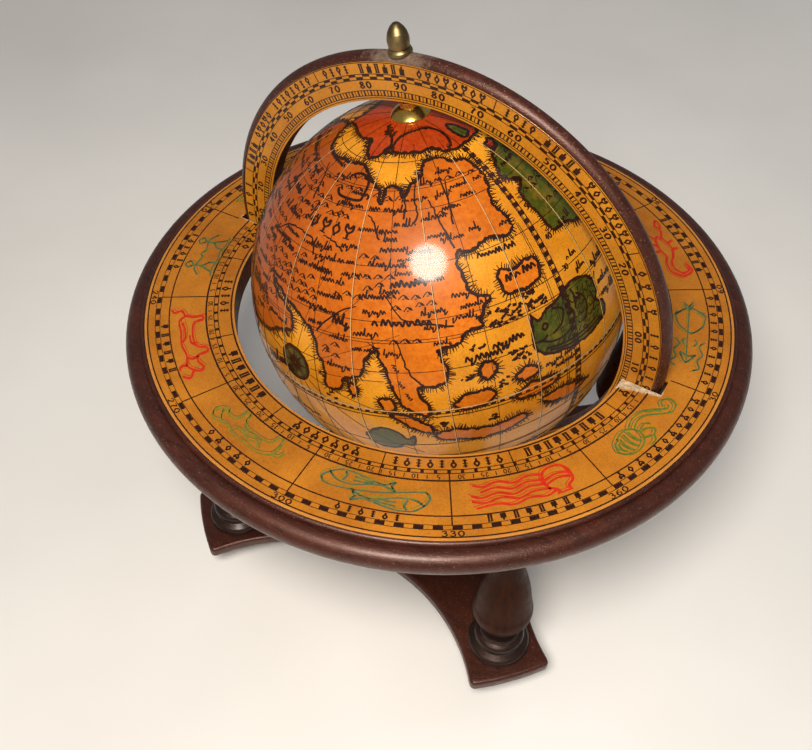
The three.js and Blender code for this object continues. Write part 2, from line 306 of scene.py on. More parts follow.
def varnished_paper(name, low, high, worn=False):
    """Aged print paper under a glossy varnish: blotches, fibres and darker stains."""
    look = varnished(name)
    blotches = look.noise(45, 4, rough=0.65)
    fibres = look.noise(1300, 3, rough=0.7)
    stains = look.noise(16, 3)
    waves = look.noise(90, 2)
    colour = look.ramp(blotches, (0.3, low), (0.68, high))
    stain_and_painted_shade = look.spread(stains, 0.5, 0.75, 0.0, 0.35)
    colour = look.mix(stain_and_painted_shade, colour, shade(*(c * 0.72 for c in low)))
    pale_fibre = shade(*(min(255, c * 1.18) for c in high))
    colour = look.mix(look.spread(fibres, 0.35, 0.75, 0.0, 0.25), colour, pale_fibre)
    grain = look.noise(2300, 2, rough=0.7)
    colour = look.mix(look.spread(grain, 0.5, 0.68, 0.0, 0.4), colour, shade(*(c * 0.66 for c in low)))
    if worn:
        colour = worn_edges(look, colour)
    look.socket("Base Color", colour)
    look.socket("Roughness", look.spread(blotches, 0.3, 0.7, 0.34, 0.46))
    look.bump((waves, 0.25, 0.12), (fibres, 0.05, 0.25))
    return look.material


def worn_edges(look, colour):
    """Bare pale paper along the front edge of each notch, and a browner tone at the sheet's two edges."""
    side, along = look.axis("Y"), look.axis("X")
    inner, outer = ((worn_to(radius) - SLIT) * MM for radius in (HOLE_R, MERIDIAN_OUT))
    patch = look.spread(along, HOLE_R * MM, MERIDIAN_OUT * MM, inner, outer)
    patch = look.math("MULTIPLY", patch, look.spread(along, 0, MM))
    reach = look.math("ADD", patch, (SLIT + 0.6) * MM)
    ragged = look.spread(look.noise(260, 4, rough=0.7), 0.3, 0.7, -0.4 * MM, 0.4 * MM)
    into_strip = look.math("ADD", look.math("ADD", side, reach), ragged)
    strip = look.math("MULTIPLY", look.spread(into_strip, 0, 0.5 * MM), look.spread(side, -1 * MM, -2 * MM))
    notch_end = (MERIDIAN_OUT + 0.6) * MM
    inside = look.spread(look.math("ABSOLUTE", along), notch_end + 0.6 * MM, notch_end)
    bare = look.math("MULTIPLY", strip, inside)
    squares = [look.math("MULTIPLY", v, v) for v in (side, along)]
    radius = look.math("SQRT", look.math("ADD", *squares))
    rim = look.spread(radius, (PAPER_R - 1.6) * MM, PAPER_R * MM, 0.0, 0.35)
    lip = look.spread(radius, (HOLE_R + 1.1) * MM, HOLE_R * MM, 0.0, 0.4)
    colour = look.mix(look.math("MAXIMUM", rim, lip), colour, shade(206, 150, 80))
    fluff = look.ramp(look.noise(900, 3, rough=0.7), (0.3, (132, 104, 76)), (0.7, (206, 182, 148)))
    return look.mix(bare, colour, fluff)


def ink(name, low, high, painted_shade_colour=None, patched=None):
    """Printing ink under the same varnish, uneven in density. An optional darker red can be painted in
    towards -X and the top, as painted shade.

    Patched is the colour of the patches where a second wash shows through.
    """
    look = varnished(name)
    density = look.noise(700, 3, rough=0.65)
    wash = look.noise(55, 3)
    colour = look.ramp(density, (0.3, low), (0.72, high))
    # painted shade: the ink turns darker and redder towards -X and the top, standing for the shade on that
    # side of the globe
    if painted_shade_colour:
        slant = look.math("SUBTRACT", look.math("MULTIPLY", look.axis("Z"), 0.6), look.axis("X"))
        slant = look.math("ADD", slant, look.math("MULTIPLY", wash, 0.05))
        colour = look.mix(look.spread(slant, 0.095, 0.19, 0.0, 0.85), colour, shade(*painted_shade_colour))
    colour = look.mix(look.spread(wash, 0.4, 0.75, 0.0, 0.35), colour, shade(*(c * 0.8 for c in low)))
    if patched:
        patches = look.spread(look.noise(170, 4, (1, 1, 0.6), 0.65), 0.5, 0.62, 0.0, 0.6)
        colour = look.mix(patches, colour, shade(*patched))
    look.socket("Base Color", colour)
    look.socket("Roughness", look.spread(density, 0.3, 0.7, 0.36, 0.5))
    look.bump((density, 0.04, 0.2))
    return look.material


def metal(name, low, high, tarnish, rough):
    """Bare metal with fine turning marks, dulled in places."""
    look = Look(name, Metallic=1.0)
    cloud = look.noise(180, 4, rough=0.6)
    marks = look.noise(1500, 2, (1, 1, 6))
    colour = look.ramp(cloud, (0.25, low), (0.7, high))
    dull = look.spread(look.noise(320, 3), 0.5, 0.72, 0.0, 0.6)
    look.socket("Base Color", look.mix(dull, colour, shade(*tarnish)))
    look.socket("Roughness", look.spread(cloud, 0.3, 0.75, rough, rough + 0.16))
    look.bump((marks, 0.03, 0.25))
    return look.material


def plain_fibre(name, low, high, stretch, rough):
    """Raw card or unfinished wood, for the pieces inside."""
    look = Look(name)
    fibres = look.noise(400, 5, stretch, 0.65)
    look.socket("Base Color", look.ramp(fibres, (0.3, low), (0.7, high)))
    look.socket("Roughness", look.spread(fibres, 0.2, 0.8, rough, rough + 0.15))
    look.bump((fibres, 0.08, 0.4))
    return look.material


MAHOGANY_STOPS = ((0.28, (38, 14, 9)), (0.5, (52, 20, 12)), (0.74, (67, 27, 16)))
PEAR_STOPS = ((0.28, (36, 14, 3)), (0.5, (47, 20, 5)), (0.74, (62, 28, 8)))
EBONY_STOPS = ((0.3, (17, 10, 8)), (0.55, (30, 18, 13)), (0.75, (44, 26, 18)))
MAHOGANY = dark_wood("mahogany", MAHOGANY_STOPS, (0.16, 1, 1), 0.2, 0.6, dust=0.35)
MERIDIAN_WOOD = dark_wood(
    "meridian_wood", MAHOGANY_STOPS, (1, 0.16, 1), 0.12, 0.6, dust=0.6, dusty_spot=FINIAL_FOOT
)
# The pear wood is painted nearly black on the leg's neck under the bulb: painted shade.
PEAR_WOOD = dark_wood("pear_wood", PEAR_STOPS, (1, 1, 0.1), 0.06, 0.04, painted_shade_below=PLATE_TOP + 17)
EBONY = dark_wood("ebony", EBONY_STOPS, (1, 1, 0.2), 0.3, 0.3)
RING_PAPER = varnished_paper("ring_paper", (140, 80, 16), (174, 109, 28), worn=True)
MERIDIAN_PAPER = varnished_paper("meridian_paper", (152, 90, 16), (184, 120, 28))
OCEAN = varnished_paper("ocean_paper", (174, 102, 14), (208, 140, 32))
# The land's ink is painted darker and redder towards -X and the top: painted shade.
LAND = ink("land_tint", (172, 82, 6), (198, 108, 12), painted_shade_colour=(120, 36, 8))
RED_LAND = ink("red_land_tint", (138, 38, 6), (166, 60, 12))
GREEN_LAND = ink("green_land_tint", (50, 54, 8), (74, 78, 16), patched=(112, 86, 20))
DEEP_GREEN = ink("deep_green_tint", (42, 46, 8), (70, 74, 16), patched=(106, 92, 16))
GREY_GREEN = ink("grey_green_tint", (56, 54, 26), (82, 78, 40), patched=(112, 84, 30))
BLACK_INK = ink("black_ink", (26, 9, 3), (50, 20, 8))
RED_INK = ink("red_ink", (158, 26, 10), (188, 44, 20))
TEAL_INK = ink("teal_ink", (56, 74, 48), (84, 100, 66))
GREEN_INK = ink("green_ink", (70, 88, 16), (98, 116, 30))
OLIVE_INK = ink("olive_ink", (96, 92, 16), (122, 118, 32))
SEAM = ink("seam_paper", (168, 130, 84), (198, 166, 118))
BRASS = metal("brass", (216, 170, 64), (242, 206, 112), (200, 156, 70), 0.16)
DULL_BRASS = metal("dull_brass", (104, 88, 56), (150, 130, 88), (88, 72, 46), 0.34)
STEEL = metal("steel", (150, 150, 152), (182, 182, 184), (112, 108, 104), 0.3)
CARD = plain_fibre("card", (150, 122, 84), (182, 152, 110), (1, 1, 1), 0.8)
CORE_WOOD = plain_fibre("core_wood", (164, 122, 76), (200, 158, 108), (1, 1, 0.1), 0.6)


# ---------------------------------------------------------------- meshes
def turned(profile, segments, loop=False):
    """Points and faces of an (r, z) outline turned about Z. With loop, the outline closes on itself."""
    points, faces, rows = [], [], []
    for r, z in profile:
        if r < 1e-6:
            rows.append([len(points)] * segments)
            points.append((0, 0, z))
        else:
            rows.append(range(len(points), len(points) + segments))
            points += [(*polar(360 * i / segments, r), z) for i in range(segments)]
    pairs = list(zip(rows, rows[1:]))
    if loop:
        pairs.append((rows[-1], rows[0]))
    for low, high in pairs:
        for i in range(segments):
            k = (i + 1) % segments
            face = list(dict.fromkeys((low[i], low[k], high[k], high[i])))
            if len(face) > 2:
                faces.append(face)
    return points, faces


def mesh_object(name, points, faces, place=Matrix.Identity(4)):
    mesh = bpy.data.meshes.new(name)
    mesh.from_pydata([tuple((place @ Vector(p)) * MM) for p in points], [], faces)
    mesh.validate()
    obj = bpy.data.objects.new(name, mesh)
    bpy.context.scene.collection.objects.link(obj)
    return obj


def finish_piece(obj, body, look, stands_for, sharp=32):
    """Shades a piece, gives it its material and ties it to its body and its CAD nodes."""
    obj.data.materials.clear()
    obj.data.materials.append(look)
    obj.data.shade_smooth()
    obj.data.set_sharp_from_angle(angle=math.radians(sharp))
    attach(obj, body)
    if stands_for:
        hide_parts(*stands_for)
    return obj


def lathe_piece(name, profile, body, look, place=Matrix.Identity(4), segments=128, loop=False):
    """A turned piece that stands for the CAD node of the same name."""
    points, faces = turned(profile, segments, loop)
    obj = mesh_object("show_" + name, points, faces, place)
    return finish_piece(obj, body, look, [name])


def box_mesh(name, low, high):
    points = [(x, y, z) for x in (low[0], high[0]) for y in (low[1], high[1]) for z in (low[2], high[2])]
    faces = [(0, 1, 3, 2), (4, 6, 7, 5), (0, 4, 5, 1), (2, 3, 7, 6), (0, 2, 6, 4), (1, 5, 7, 3)]
    return mesh_object(name, points, faces)


def cut(obj, low, high):
    """Takes a box out of a mesh, for good."""
    tool = box_mesh("tool", low, high)
    modifier = obj.modifiers.new("cut", "BOOLEAN")
    modifier.operation = "DIFFERENCE"
    modifier.solver = "EXACT"
    modifier.object = tool
    graph = bpy.context.evaluated_depsgraph_get()
    result = bpy.data.meshes.new_from_object(obj.evaluated_get(graph))
    obj.modifiers.clear()
    obj.data = result
    bpy.data.objects.remove(tool)


def cut_notches(obj):
    """The two notches that the meridian ring passes through."""
    end = MERIDIAN_OUT + 0.6
    start = HOLE_R - 4
    for near, far in ((start, end), (-end, -start)):
        cut(obj, (near, -SLIT, HORIZON_TOP - 14), (far, SLIT, HORIZON_TOP + 4))


# ---------------------------------------------------------------- stand
def rounded_corner(start, corner, stop, steps=8):
    """The points between start and stop on a curve that cuts the corner."""
    shares = [step / steps for step in range(1, steps)]
    return [
        tuple((1 - t) ** 2 * a + 2 * t * (1 - t) * b + t * t * c for a, b, c in zip(start, corner, stop))
        for t in shares
    ]


def plate_outline():
    """The base plate's edge: a disc with four round bites, its corners softened."""
    cosine = (PLATE_R**2 + BITE_AT**2 - BITE_R**2) / (2 * PLATE_R * BITE_AT)
    meet = math.degrees(math.acos(cosine))
    x, y = polar(meet, PLATE_R)
    swing = math.degrees(math.atan2(y, BITE_AT - x))
    runs = []
    for side in range(4):
        turn = LEG_TURN + 90 * side
        runs.append(arc(*polar(turn, BITE_AT), BITE_R, turn + 180 + swing, turn + 180 - swing, 48))
        runs.append(arc(0, 0, PLATE_R, turn + meet, turn + 90 - meet, 14))
    outline = []
    for run, following in zip(runs, runs[1:] + runs[:1]):
        outline += run[1:-1] + rounded_corner(run[-2], run[-1], following[1])
    return outline


def inset(outline, by):
    """The outline moved inwards, for a ring that runs anticlockwise."""
    moved = []
    count = len(outline)
    for i in range(count):
        a, b = outline[i - 1], outline[(i + 1) % count]
        length = math.dist(a, b) or 1
        x, y = outline[i]
        moved.append((x - (b[1] - a[1]) / length * by, y + (b[0] - a[0]) / length * by))
    return moved


def plate_rows(outline):
    """The plate's outline on every level, from the middle of its underside to the middle of its top."""
    bevel = arc(PLATE_EDGE, PLATE_EDGE, PLATE_EDGE, 270, 180, 5)
    layers = [(by, FOOT_H + z) for by, z in bevel]
    layers += [(by, PLATE_TOP - z) for by, z in reversed(bevel)]
    rows = [[(x, y, z) for x, y in inset(outline, by)] for by, z in layers]
    shares = [0.97, 0.9, 0.8, 0.65, 0.45, 0.25]
    under = [[(x * share, y * share, z) for x, y, z in rows[0]] for share in reversed(shares)]
    over = [[(x * share, y * share, z) for x, y, z in rows[-1]] for share in shares]
    return under + rows + over


def build_plate():
    outline = plate_outline()
    rows = plate_rows(outline)
    count = len(outline)
    points = [point for row in rows for point in row] + [(0, 0, FOOT_H), (0, 0, PLATE_TOP)]
    last = (len(rows) - 1) * count
    faces = []
    for low in range(0, last, count):
        high = low + count
        for i in range(count):
            k = (i + 1) % count
            faces.append((low + i, low + k, high + k, high + i))
    for i in range(count):
        k = (i + 1) % count
        faces.append((k, i, len(points) - 2))
        faces.append((last + i, last + k, len(points) - 1))
    obj = mesh_object("show_base_plate", points, faces)
    finish_piece(obj, "stand", MAHOGANY, ["base_plate"], 40)


def leg_profile():
    """Half the pear-shaped leg, from its lower neck up to the horizon ring."""
    bulb = arc(0, BULB_Z, BULB_R, -52, 18, 20)
    slope = [(9.75, 33.5), (8.9, 39.5), (7.6, 45.5), (6.2, 51), (5.2, 58), (4.5, 65), (4.3, 70)]
    shoulder = curve([bulb[-1]] + slope, 5)[1:]
    ring = arc(4.3, 73.4, 1.7, -70, 70, 8)
    flare = curve([(4.5, 76), (4.9, 79), (6.3, 84), (8.2, 88), (9.2, 90.2)], 5)
    top = arc(8.6, 91.6, 0.7, -20, 70, 4) + [(8.7, LEG_HEIGHT), (0, LEG_HEIGHT)]
    foot = [(0, 10.6), (6.4, 10.6), (6.3, 14), (6.4, 16.4)]
    neck = curve([(6.4, 16.4), (6.5, 17.1), bulb[0]], 3)[1:-1]
    return foot + neck + bulb + shoulder + ring + flare + top


def leg_ring_profile():
    """The dark foot moulding: a rounded base, a cove and a bead."""
    base = arc(10.0, 1.5, 1.5, -90, 0, 6) + arc(9.6, 2.0, 1.9, 0, 62, 8)
    cove = [(9.6, 4.3), (8.9, 4.8), (8.75, 5.2)]
    bead = arc(7.1, 7.1, 2.2, -42, 60, 12)
    return [(0, 0)] + base + cove + bead + [(7.3, 9.6), (7.1, 10.6), (6.6, 11.1), (0, 11.1)]


def foot_profile():
    """A turned knob foot, with a hole in its sole for the screw's head."""
    top = FOOT_H
    hole = [(0, 4.7), (3.4, 4.7), (3.4, 0.2), (3.6, 0), (4.4, 0)]
    knob = arc(0, 5.8, 7.3, -52, 48, 16)
    return hole + knob + [(4.7, top - 2.1), (4.8, top - 1.4), (5.6, top), (0, top)]


def build_legs():
    """Under and on each corner of the plate: the knob foot, the moulded ring and the leg."""
    for corner, angle in CORNERS.items():
        x, y = polar(angle, LEG_AT)
        on_table = Matrix.Translation((x, y, 0))
        on_plate = Matrix.Translation((x, y, PLATE_TOP))
        lathe_piece("foot_" + corner, foot_profile(), "stand", MAHOGANY, on_table, 72)
        lathe_piece("leg_ring_" + corner, leg_ring_profile(), "stand", EBONY, on_plate, 96)
        lathe_piece("leg_" + corner, leg_profile(), "stand", PEAR_WOOD, on_plate, 96)


def build_cradle():
    """The turned post that carries the foot of the meridian ring, with its slot."""
    low = PLATE_TOP
    top = GLOBE_Z - MERIDIAN_OUT + 6
    profile = [(0, low)] + arc(12.6, low + 1.4, 1.4, -90, 60, 8)
    waist = [(12.6, 4.2), (9.4, 6), (7.3, 10), (7.2, 14), (8.8, 18.5), (10.3, 23)]
    profile += curve(lifted(waist, low))
    profile += [(10.4, low + 24)] + arc(9.6, top - 0.8, 0.8, 0, 90, 4) + [(0, top)]
    obj = lathe_piece("cradle_post", profile, "stand", EBONY, segments=96)
    bottom = GLOBE_Z - MERIDIAN_OUT - 0.3
    cut(obj, (-14, -SLIT, bottom), (14, SLIT, top + 2))


def horizon_profile():
    """The ring's section: paper seat, bead, groove and half-round edge."""
    bead, edge = 1.2, 4.3
    under = [(HOLE_R + 0.8, -RING_T), (RIM_R - edge - 2, -RING_T)]
    half_round = arc(RIM_R - edge, edge - RING_T, edge, -90, 112, 28)
    groove = [(PAPER_R + 1.5, -1.75), (PAPER_R + 1.45, -1.6)]
    top = arc(PAPER_R + 0.3, -bead, bead, -14, 84, 14)
    seat = [(PAPER_R + 0.25, -0.15), (PAPER_R + 0.1, -PAPER_T), (HOLE_R + 0.25, -PAPER_T)]
    return under + half_round + groove + top + seat + [(HOLE_R, -PAPER_T - 0.3), (HOLE_R, -RING_T + 0.8)]


def horizon_paper_profile():
    return [
        (HOLE_R + 0.1, -PAPER_T),
        (PAPER_R, -PAPER_T),
        (PAPER_R, -0.08),
        (PAPER_R - 0.08, 0),
        (HOLE_R + 0.2, 0),
        (HOLE_R + 0.1, -0.1),
    ]


def build_horizon():
    """The wooden ring and its printed paper, with the same two notches."""
    at_top = Matrix.Translation((0, 0, HORIZON_TOP))
    ring = lathe_piece("horizon_ring", horizon_profile(), "stand", MAHOGANY, at_top, 256, True)
    cut_notches(ring)
    sheet = horizon_paper_profile()
    paper = lathe_piece("horizon_paper", sheet, "stand", RING_PAPER, at_top, 256, True)
    cut_notches(paper)


# ---------------------------------------------------------------- meridian, brass and globe
def build_meridian():
    """The ring that carries the globe, and the paper on each of its faces."""
    face = MERIDIAN_HALF - PAPER_T
    lip = MERIDIAN_PAPER_OUT + 0.2
    rim = arc(MERIDIAN_OUT - MERIDIAN_HALF, 0, MERIDIAN_HALF, -72, 72, 28)
    profile = [(MERIDIAN_IN, 0.3 - face), (MERIDIAN_IN + 0.3, -face), (lip, -face), (lip, -face - 0.1)]
    profile += rim + [(lip, face + 0.1), (lip, face), (MERIDIAN_IN + 0.3, face), (MERIDIAN_IN, face - 0.3)]
    lathe_piece("meridian_ring", profile, "meridian", MERIDIAN_WOOD, on_axis(90), 256, True)
    sheet = [
        (MERIDIAN_IN + 0.1, face),
        (MERIDIAN_PAPER_OUT, face),
        (MERIDIAN_PAPER_OUT, MERIDIAN_HALF - 0.06),
        (MERIDIAN_PAPER_OUT - 0.06, MERIDIAN_HALF),
        (MERIDIAN_IN + 0.16, MERIDIAN_HALF),
        (MERIDIAN_IN + 0.1, MERIDIAN_HALF - 0.06),
    ]
    for name, turn in (("front", 90), ("back", -90)):
        lathe_piece(
            "meridian_paper_" + name, sheet, "meridian", MERIDIAN_PAPER, on_axis(turn), 256, True
        )


def build_brass():
    """The finial on its flared collar, and the two caps over the globe's poles."""
    low = MERIDIAN_OUT + 1.4
    knob = [(0, low), (2.9, low), (3.1, low + 0.15)]
    knob += curve(lifted([(3.15, 0.3), (3.35, 1.5), (3.38, 2.9), (3.0, 4.6)], low))
    knob += curve(lifted([(3.0, 4.6), (2.2, 6.1), (1.1, 7.3), (0.45, 7.6)], low))[1:]
    knob += [(0, low + 7.67)]
    lathe_piece("finial", knob, "meridian", DULL_BRASS, AXIS, 64)
    flat = MERIDIAN_OUT - 0.4
    rim = [(3.85, flat + 0.3), (3.78, flat + 0.9), (3.5, flat + 1.35), (3.35, flat + 1.75)]
    collar = [(0, flat), (3.8, flat)] + curve(rim, 5) + [(2.8, flat + 1.9), (0, flat + 1.9)]
    lathe_piece("finial_collar", collar, "meridian", DULL_BRASS, AXIS, 64)
    for name, turn in (("north", 0), ("south", 180)):
        low = GLOBE_R + 0.1
        cap = [(1.6, low), (CAP_R - 0.4, low - 0.35), (CAP_R, low - 0.3), (CAP_R + 0.05, low + 0.05)]
        dome = [(6.25, 0.3), (5.7, 0.95), (4.8, 1.75), (3.8, 2.4), (2.8, 2.8)]
        cap += curve(lifted(dome, low))
        cap += [(2.3, low + 2.85), (2.1, low + 2.5), (1.6, low + 2.4)]
        lathe_piece("cap_" + name, cap, "globe", BRASS, on_axis(turn), 96, True)


def build_globe():
    """The two halves of the globe, papered outside, open at the pole under the brass cap."""
    inner = GLOBE_R - GLOBE_WALL
    for name, turn in (("north", 0), ("south", 180)):
        profile = arc(0, 0, GLOBE_R, SEAM_GAP, 86.9, 96) + arc(0, 0, inner, 86.8, SEAM_GAP, 24)
        lathe_piece("globe_" + name, profile, "globe", OCEAN, on_axis(turn), 256, True)


def dress_inner_parts():
    """The frame's own pieces that stay: screws, pins, spacers and what is inside the globe."""
    looks = {"screw": STEEL, "pivot": BRASS, "spacer": BRASS, "hoop": CARD, "core": CORE_WOOD}
    for name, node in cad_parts.items():
        for word, look in looks.items():
            if word in name:
                node.data.materials.clear()
                node.data.materials.append(look)


# ---------------------------------------------------------------- printing
PRINT_HIGH = 0.05  # how high the ink stands over the paper, and how deep it reaches into it
PRINT_SUNK = 0.1
PRINT_STEP = 0.0015  # how much higher each of eight solids stands than the one before


class Print:
    """Printed shapes of one colour on one body, gathered into a mesh of thin closed solids."""

    def __init__(self, name, body, look, high=PRINT_HIGH, curved=False):
        self.name, self.body, self.look = name, body, look
        self.high, self.curved = high, curved
        self.points, self.normals, self.faces = [], [], []
        self.lift = 0

    def shell(self, points, normals, faces):
        """Adds a patch of faces as a thin solid, with walls round its border.

        Solids that cross each other stand at slightly different heights, so their tops never coincide.
        """
        base, count = len(self.points), len(points)
        self.lift = (self.lift + 1) % 8
        high = self.high + self.lift * PRINT_STEP
        for distance in (high, -PRINT_SUNK):
            self.points += [p + n * distance for p, n in zip(points, normals)]
            self.normals += normals
        edges = {(face[i - 1], face[i]) for face in faces for i in range(len(face))}
        for face in faces:
            self.faces.append(tuple(base + i for i in face))
            self.faces.append(tuple(base + count + i for i in reversed(face)))
        for a, b in edges:
            if (b, a) not in edges:
                self.faces.append((base + count + a, base + count + b, base + b, base + a))

    def ribbon(self, points, normals, width, loop=False):
        """Adds a line of that width, or of one width at each point."""
        count = len(points)
        widths = width if isinstance(width, list) else [width] * count
        left, right = [], []
        for i in range(count):
            before = points[i - 1] if loop or i else points[0]
            after = points[(i + 1) % count] if loop or i < count - 1 else points[-1]
            side = normals[i].cross(after - before).normalized() * (widths[i] / 2)
            left.append(points[i] + side)
            right.append(points[i] - side)
        faces = []
        for i in range(count if loop else count - 1):
            k = (i + 1) % count
            faces.append((count + i, count + k, k, i))
        self.shell(left + right, normals + normals, faces)

    def line(self, surface, spots, width, loop=False):
        places = [surface(*spot) for spot in spots]
        self.ribbon([p for p, _ in places], [n for _, n in places], width, loop)

    def stroke(self, surface, local, spots, thick, thin=None, steps=5):
        """A pen stroke through a few spots, thick where it runs up or down and thin where it runs across."""
        path = curve(spots, steps)
        widths = []
        for i in range(len(path)):
            a, b = path[max(i - 1, 0)], path[min(i + 1, len(path) - 1)]
            steep = abs(b[1] - a[1]) / (math.dist(a, b) or 1)
            widths.append(thick if thin is None else thin + (thick - thin) * steep)
        self.line(surface, [local(*spot) for spot in path], widths)

    def glyphs(self, surface, local, names, size, thick, advance=0.72, wide=1):
        """Digits or ornaments in a row, centred on the local origin."""
        for place, name in enumerate(names):
            shift = (place - (len(names) - 1) / 2) * advance - 0.3
            for spots in GLYPHS[name]:
                moved = [((x + shift) * size * wide, (y - 0.5) * size) for x, y in spots]
                self.stroke(surface, local, moved, thick, thick * 0.45, steps=4)

    def finish(self):
        obj = mesh_object(self.name, self.points, self.faces)
        finish_piece(obj, self.body, self.look, [], 180 if self.curved else 30)
        if self.curved:
            obj.data.normals_split_custom_set_from_vertices([n.to_tuple() for n in self.normals])


def on_horizon(angle, radius):
    return Vector((*polar(angle, radius), HORIZON_TOP)), Vector((0, 0, 1))


def meridian_face(side):
    """The printed face of the meridian ring, side -1 in front and 1 behind."""

    def surface(angle, radius):
        x, z = polar(angle, radius)
        return Vector((x, side * MERIDIAN_HALF, z + GLOBE_Z)), Vector((0, side, 0))

    return surface


def direction(lon, lat):
    """Unit vector of a place on the globe. Longitude 0 is towards +X and 90 is towards +Y."""
    x, y = polar(lon, math.cos(math.radians(lat)))
    return AXIS.to_3x3() @ Vector((x, y, math.sin(math.radians(lat))))


def on_globe(lon, lat):
    normal = direction(lon, lat)
    return Vector((0, 0, GLOBE_Z)) + normal * GLOBE_R, normal


def along_ring(angle, radius, turn, up):
    """Local millimetres on a ring's face: x along the ring, y across it."""
    return lambda x, y: (angle + turn * math.degrees(x / radius), radius + up * y)


def near_place(lon, lat, tilt=0):
    """Local millimetres on the globe, x to the east and y to the north, turned by tilt."""
    c, s = polar(tilt, 1)
    wide = GLOBE_R * math.cos(math.radians(lat))
    return lambda x, y: (
        lon + math.degrees((x * c - y * s) / wide),
        lat + math.degrees((x * s + y * c) / GLOBE_R),
    )


# Digits and printer's ornaments as pen strokes, 0.6 wide and 1 high.
GLYPHS = {
    "0": [[(0.3, 1), (0.06, 0.72), (0.06, 0.28), (0.3, 0), (0.54, 0.28), (0.54, 0.72), (0.3, 1)]],
    "1": [[(0.12, 0.82), (0.32, 1)], [(0.32, 1), (0.32, 0)], [(0.16, 0), (0.48, 0)]],
    "2": [
        [(0.06, 0.74), (0.2, 0.97), (0.46, 0.92), (0.5, 0.66), (0.3, 0.32), (0.06, 0.04)],
        [(0.06, 0.04), (0.58, 0.04)],
    ],
    "3": [
        [(0.08, 0.88), (0.28, 1), (0.5, 0.82), (0.42, 0.6), (0.24, 0.54)],
        [(0.24, 0.54), (0.52, 0.44), (0.54, 0.16), (0.3, 0), (0.06, 0.1)],
    ],
    "4": [[(0.42, 0), (0.42, 1)], [(0.42, 1), (0.02, 0.32)], [(0.02, 0.32), (0.6, 0.32)]],
    "5": [
        [(0.52, 1), (0.16, 1)],
        [(0.16, 1), (0.12, 0.56)],
        [(0.12, 0.56), (0.4, 0.62), (0.56, 0.36), (0.42, 0.06), (0.06, 0.06)],
    ],
    "6": [
        [(0.5, 0.98), (0.2, 0.76), (0.06, 0.36), (0.24, 0.01), (0.5, 0.1), (0.52, 0.4), (0.3, 0.52),
         (0.08, 0.36)],
    ],
    "7": [[(0.06, 0.97), (0.56, 0.97)], [(0.56, 0.97), (0.32, 0.5), (0.24, 0)]],
    "8": [
        [(0.3, 0.54), (0.1, 0.76), (0.3, 1), (0.5, 0.76), (0.3, 0.54)],
        [(0.3, 0.54), (0.05, 0.26), (0.3, 0), (0.55, 0.26), (0.3, 0.54)],
    ],
    "9": [
        [(0.52, 0.64), (0.3, 0.48), (0.08, 0.64), (0.12, 0.94), (0.42, 0.98), (0.54, 0.66),
         (0.42, 0.26), (0.12, 0.02)],
    ],
    "leaf": [
        [(0.3, 1), (0.1, 0.62), (0.3, 0.3)],
        [(0.3, 1), (0.5, 0.62), (0.3, 0.3)],
        [(0.3, 0.5), (0.3, 0)],
    ],
    "gate": [
        [(0.16, 0), (0.16, 1)],
        [(0.44, 0), (0.44, 1)],
        [(0.02, 0.98), (0.58, 0.98)],
        [(0.02, 0.02), (0.58, 0.02)],
    ],
    "rungs": [
        [(0.3, 0), (0.3, 1)],
        [(0.08, 0.84), (0.52, 0.84)],
        [(0.08, 0.5), (0.52, 0.5)],
        [(0.08, 0.16), (0.52, 0.16)],
    ],
    "bead": [
        [(0.3, 0.82), (0.08, 0.5), (0.3, 0.18), (0.52, 0.5), (0.3, 0.82)],
        [(0.3, 1), (0.3, 0.82)],
        [(0.3, 0.18), (0.3, 0)],
    ],
    "tulip": [
        [(0.3, 0), (0.3, 0.4)],
        [(0.3, 0.36), (0.06, 0.62), (0.08, 1)],
        [(0.08, 1), (0.3, 0.7), (0.52, 1)],
        [(0.52, 1), (0.54, 0.62), (0.3, 0.36)],
        [(0.1, 0), (0.5, 0)],
    ],
    "posts": [
        [(0.1, 0), (0.1, 0.7)],
        [(0.3, 0), (0.3, 1)],
        [(0.5, 0), (0.5, 0.7)],
        [(0.02, 0.02), (0.58, 0.02)],
    ],
}
ORNAMENT = ["leaf", "gate", "bead", "rungs", "posts", "tulip"]


def ornament_run(length, start):
    """A run of two printer's ornaments by turns, as long as a word of that many letters."""
    return [ORNAMENT[(start + 3 * (k % 2)) % len(ORNAMENT)] for k in range(length)]


# ---------------------------------------------------------------- horizon print
def notch_clear(angle, radius, room=0.5):
    """False where a shape at that place would hang over a notch."""
    x, y = polar(angle, radius)
    edge = worn_to(radius) if x > 0 > y else SLIT
    return abs(y) > edge + room or abs(x) > MERIDIAN_OUT + 1 + room


def ring_line(ink_print, radius, width):
    """A circle on the horizon, broken at the notches if it meets them."""
    if radius > MERIDIAN_OUT + 1:
        spots = [(a, radius) for a in range(0, 360, 2)]
        ink_print.line(on_horizon, spots, width, True)
        return
    gap = math.degrees(math.asin((SLIT + 0.15) / radius))
    worn_gap = math.degrees(math.asin(worn_to(radius) / radius))
    for start, end in ((gap, 180 - gap), (180 + gap, 360 - worn_gap)):
        spots = [(start + (end - start) * i / 90, radius) for i in range(91)]
        ink_print.line(on_horizon, spots, width)


def block(ink_print, surface, start, end, low, high):
    """A filled block between two angles and two radii."""
    spots = [(angle, (low + high) / 2) for angle in (start, (start + end) / 2, end)]
    ink_print.line(surface, spots, high - low)


# The printed circles: radius and width.
RING_LINES = (
    (73.2, 0.55),
    (77.8, 0.28),
    (79.2, 0.28),
    (81.9, 0.6),
    (94.6, 0.45),
    (97.75, 0.2),
    (99.35, 0.2),
    (101.9, 0.45),
)
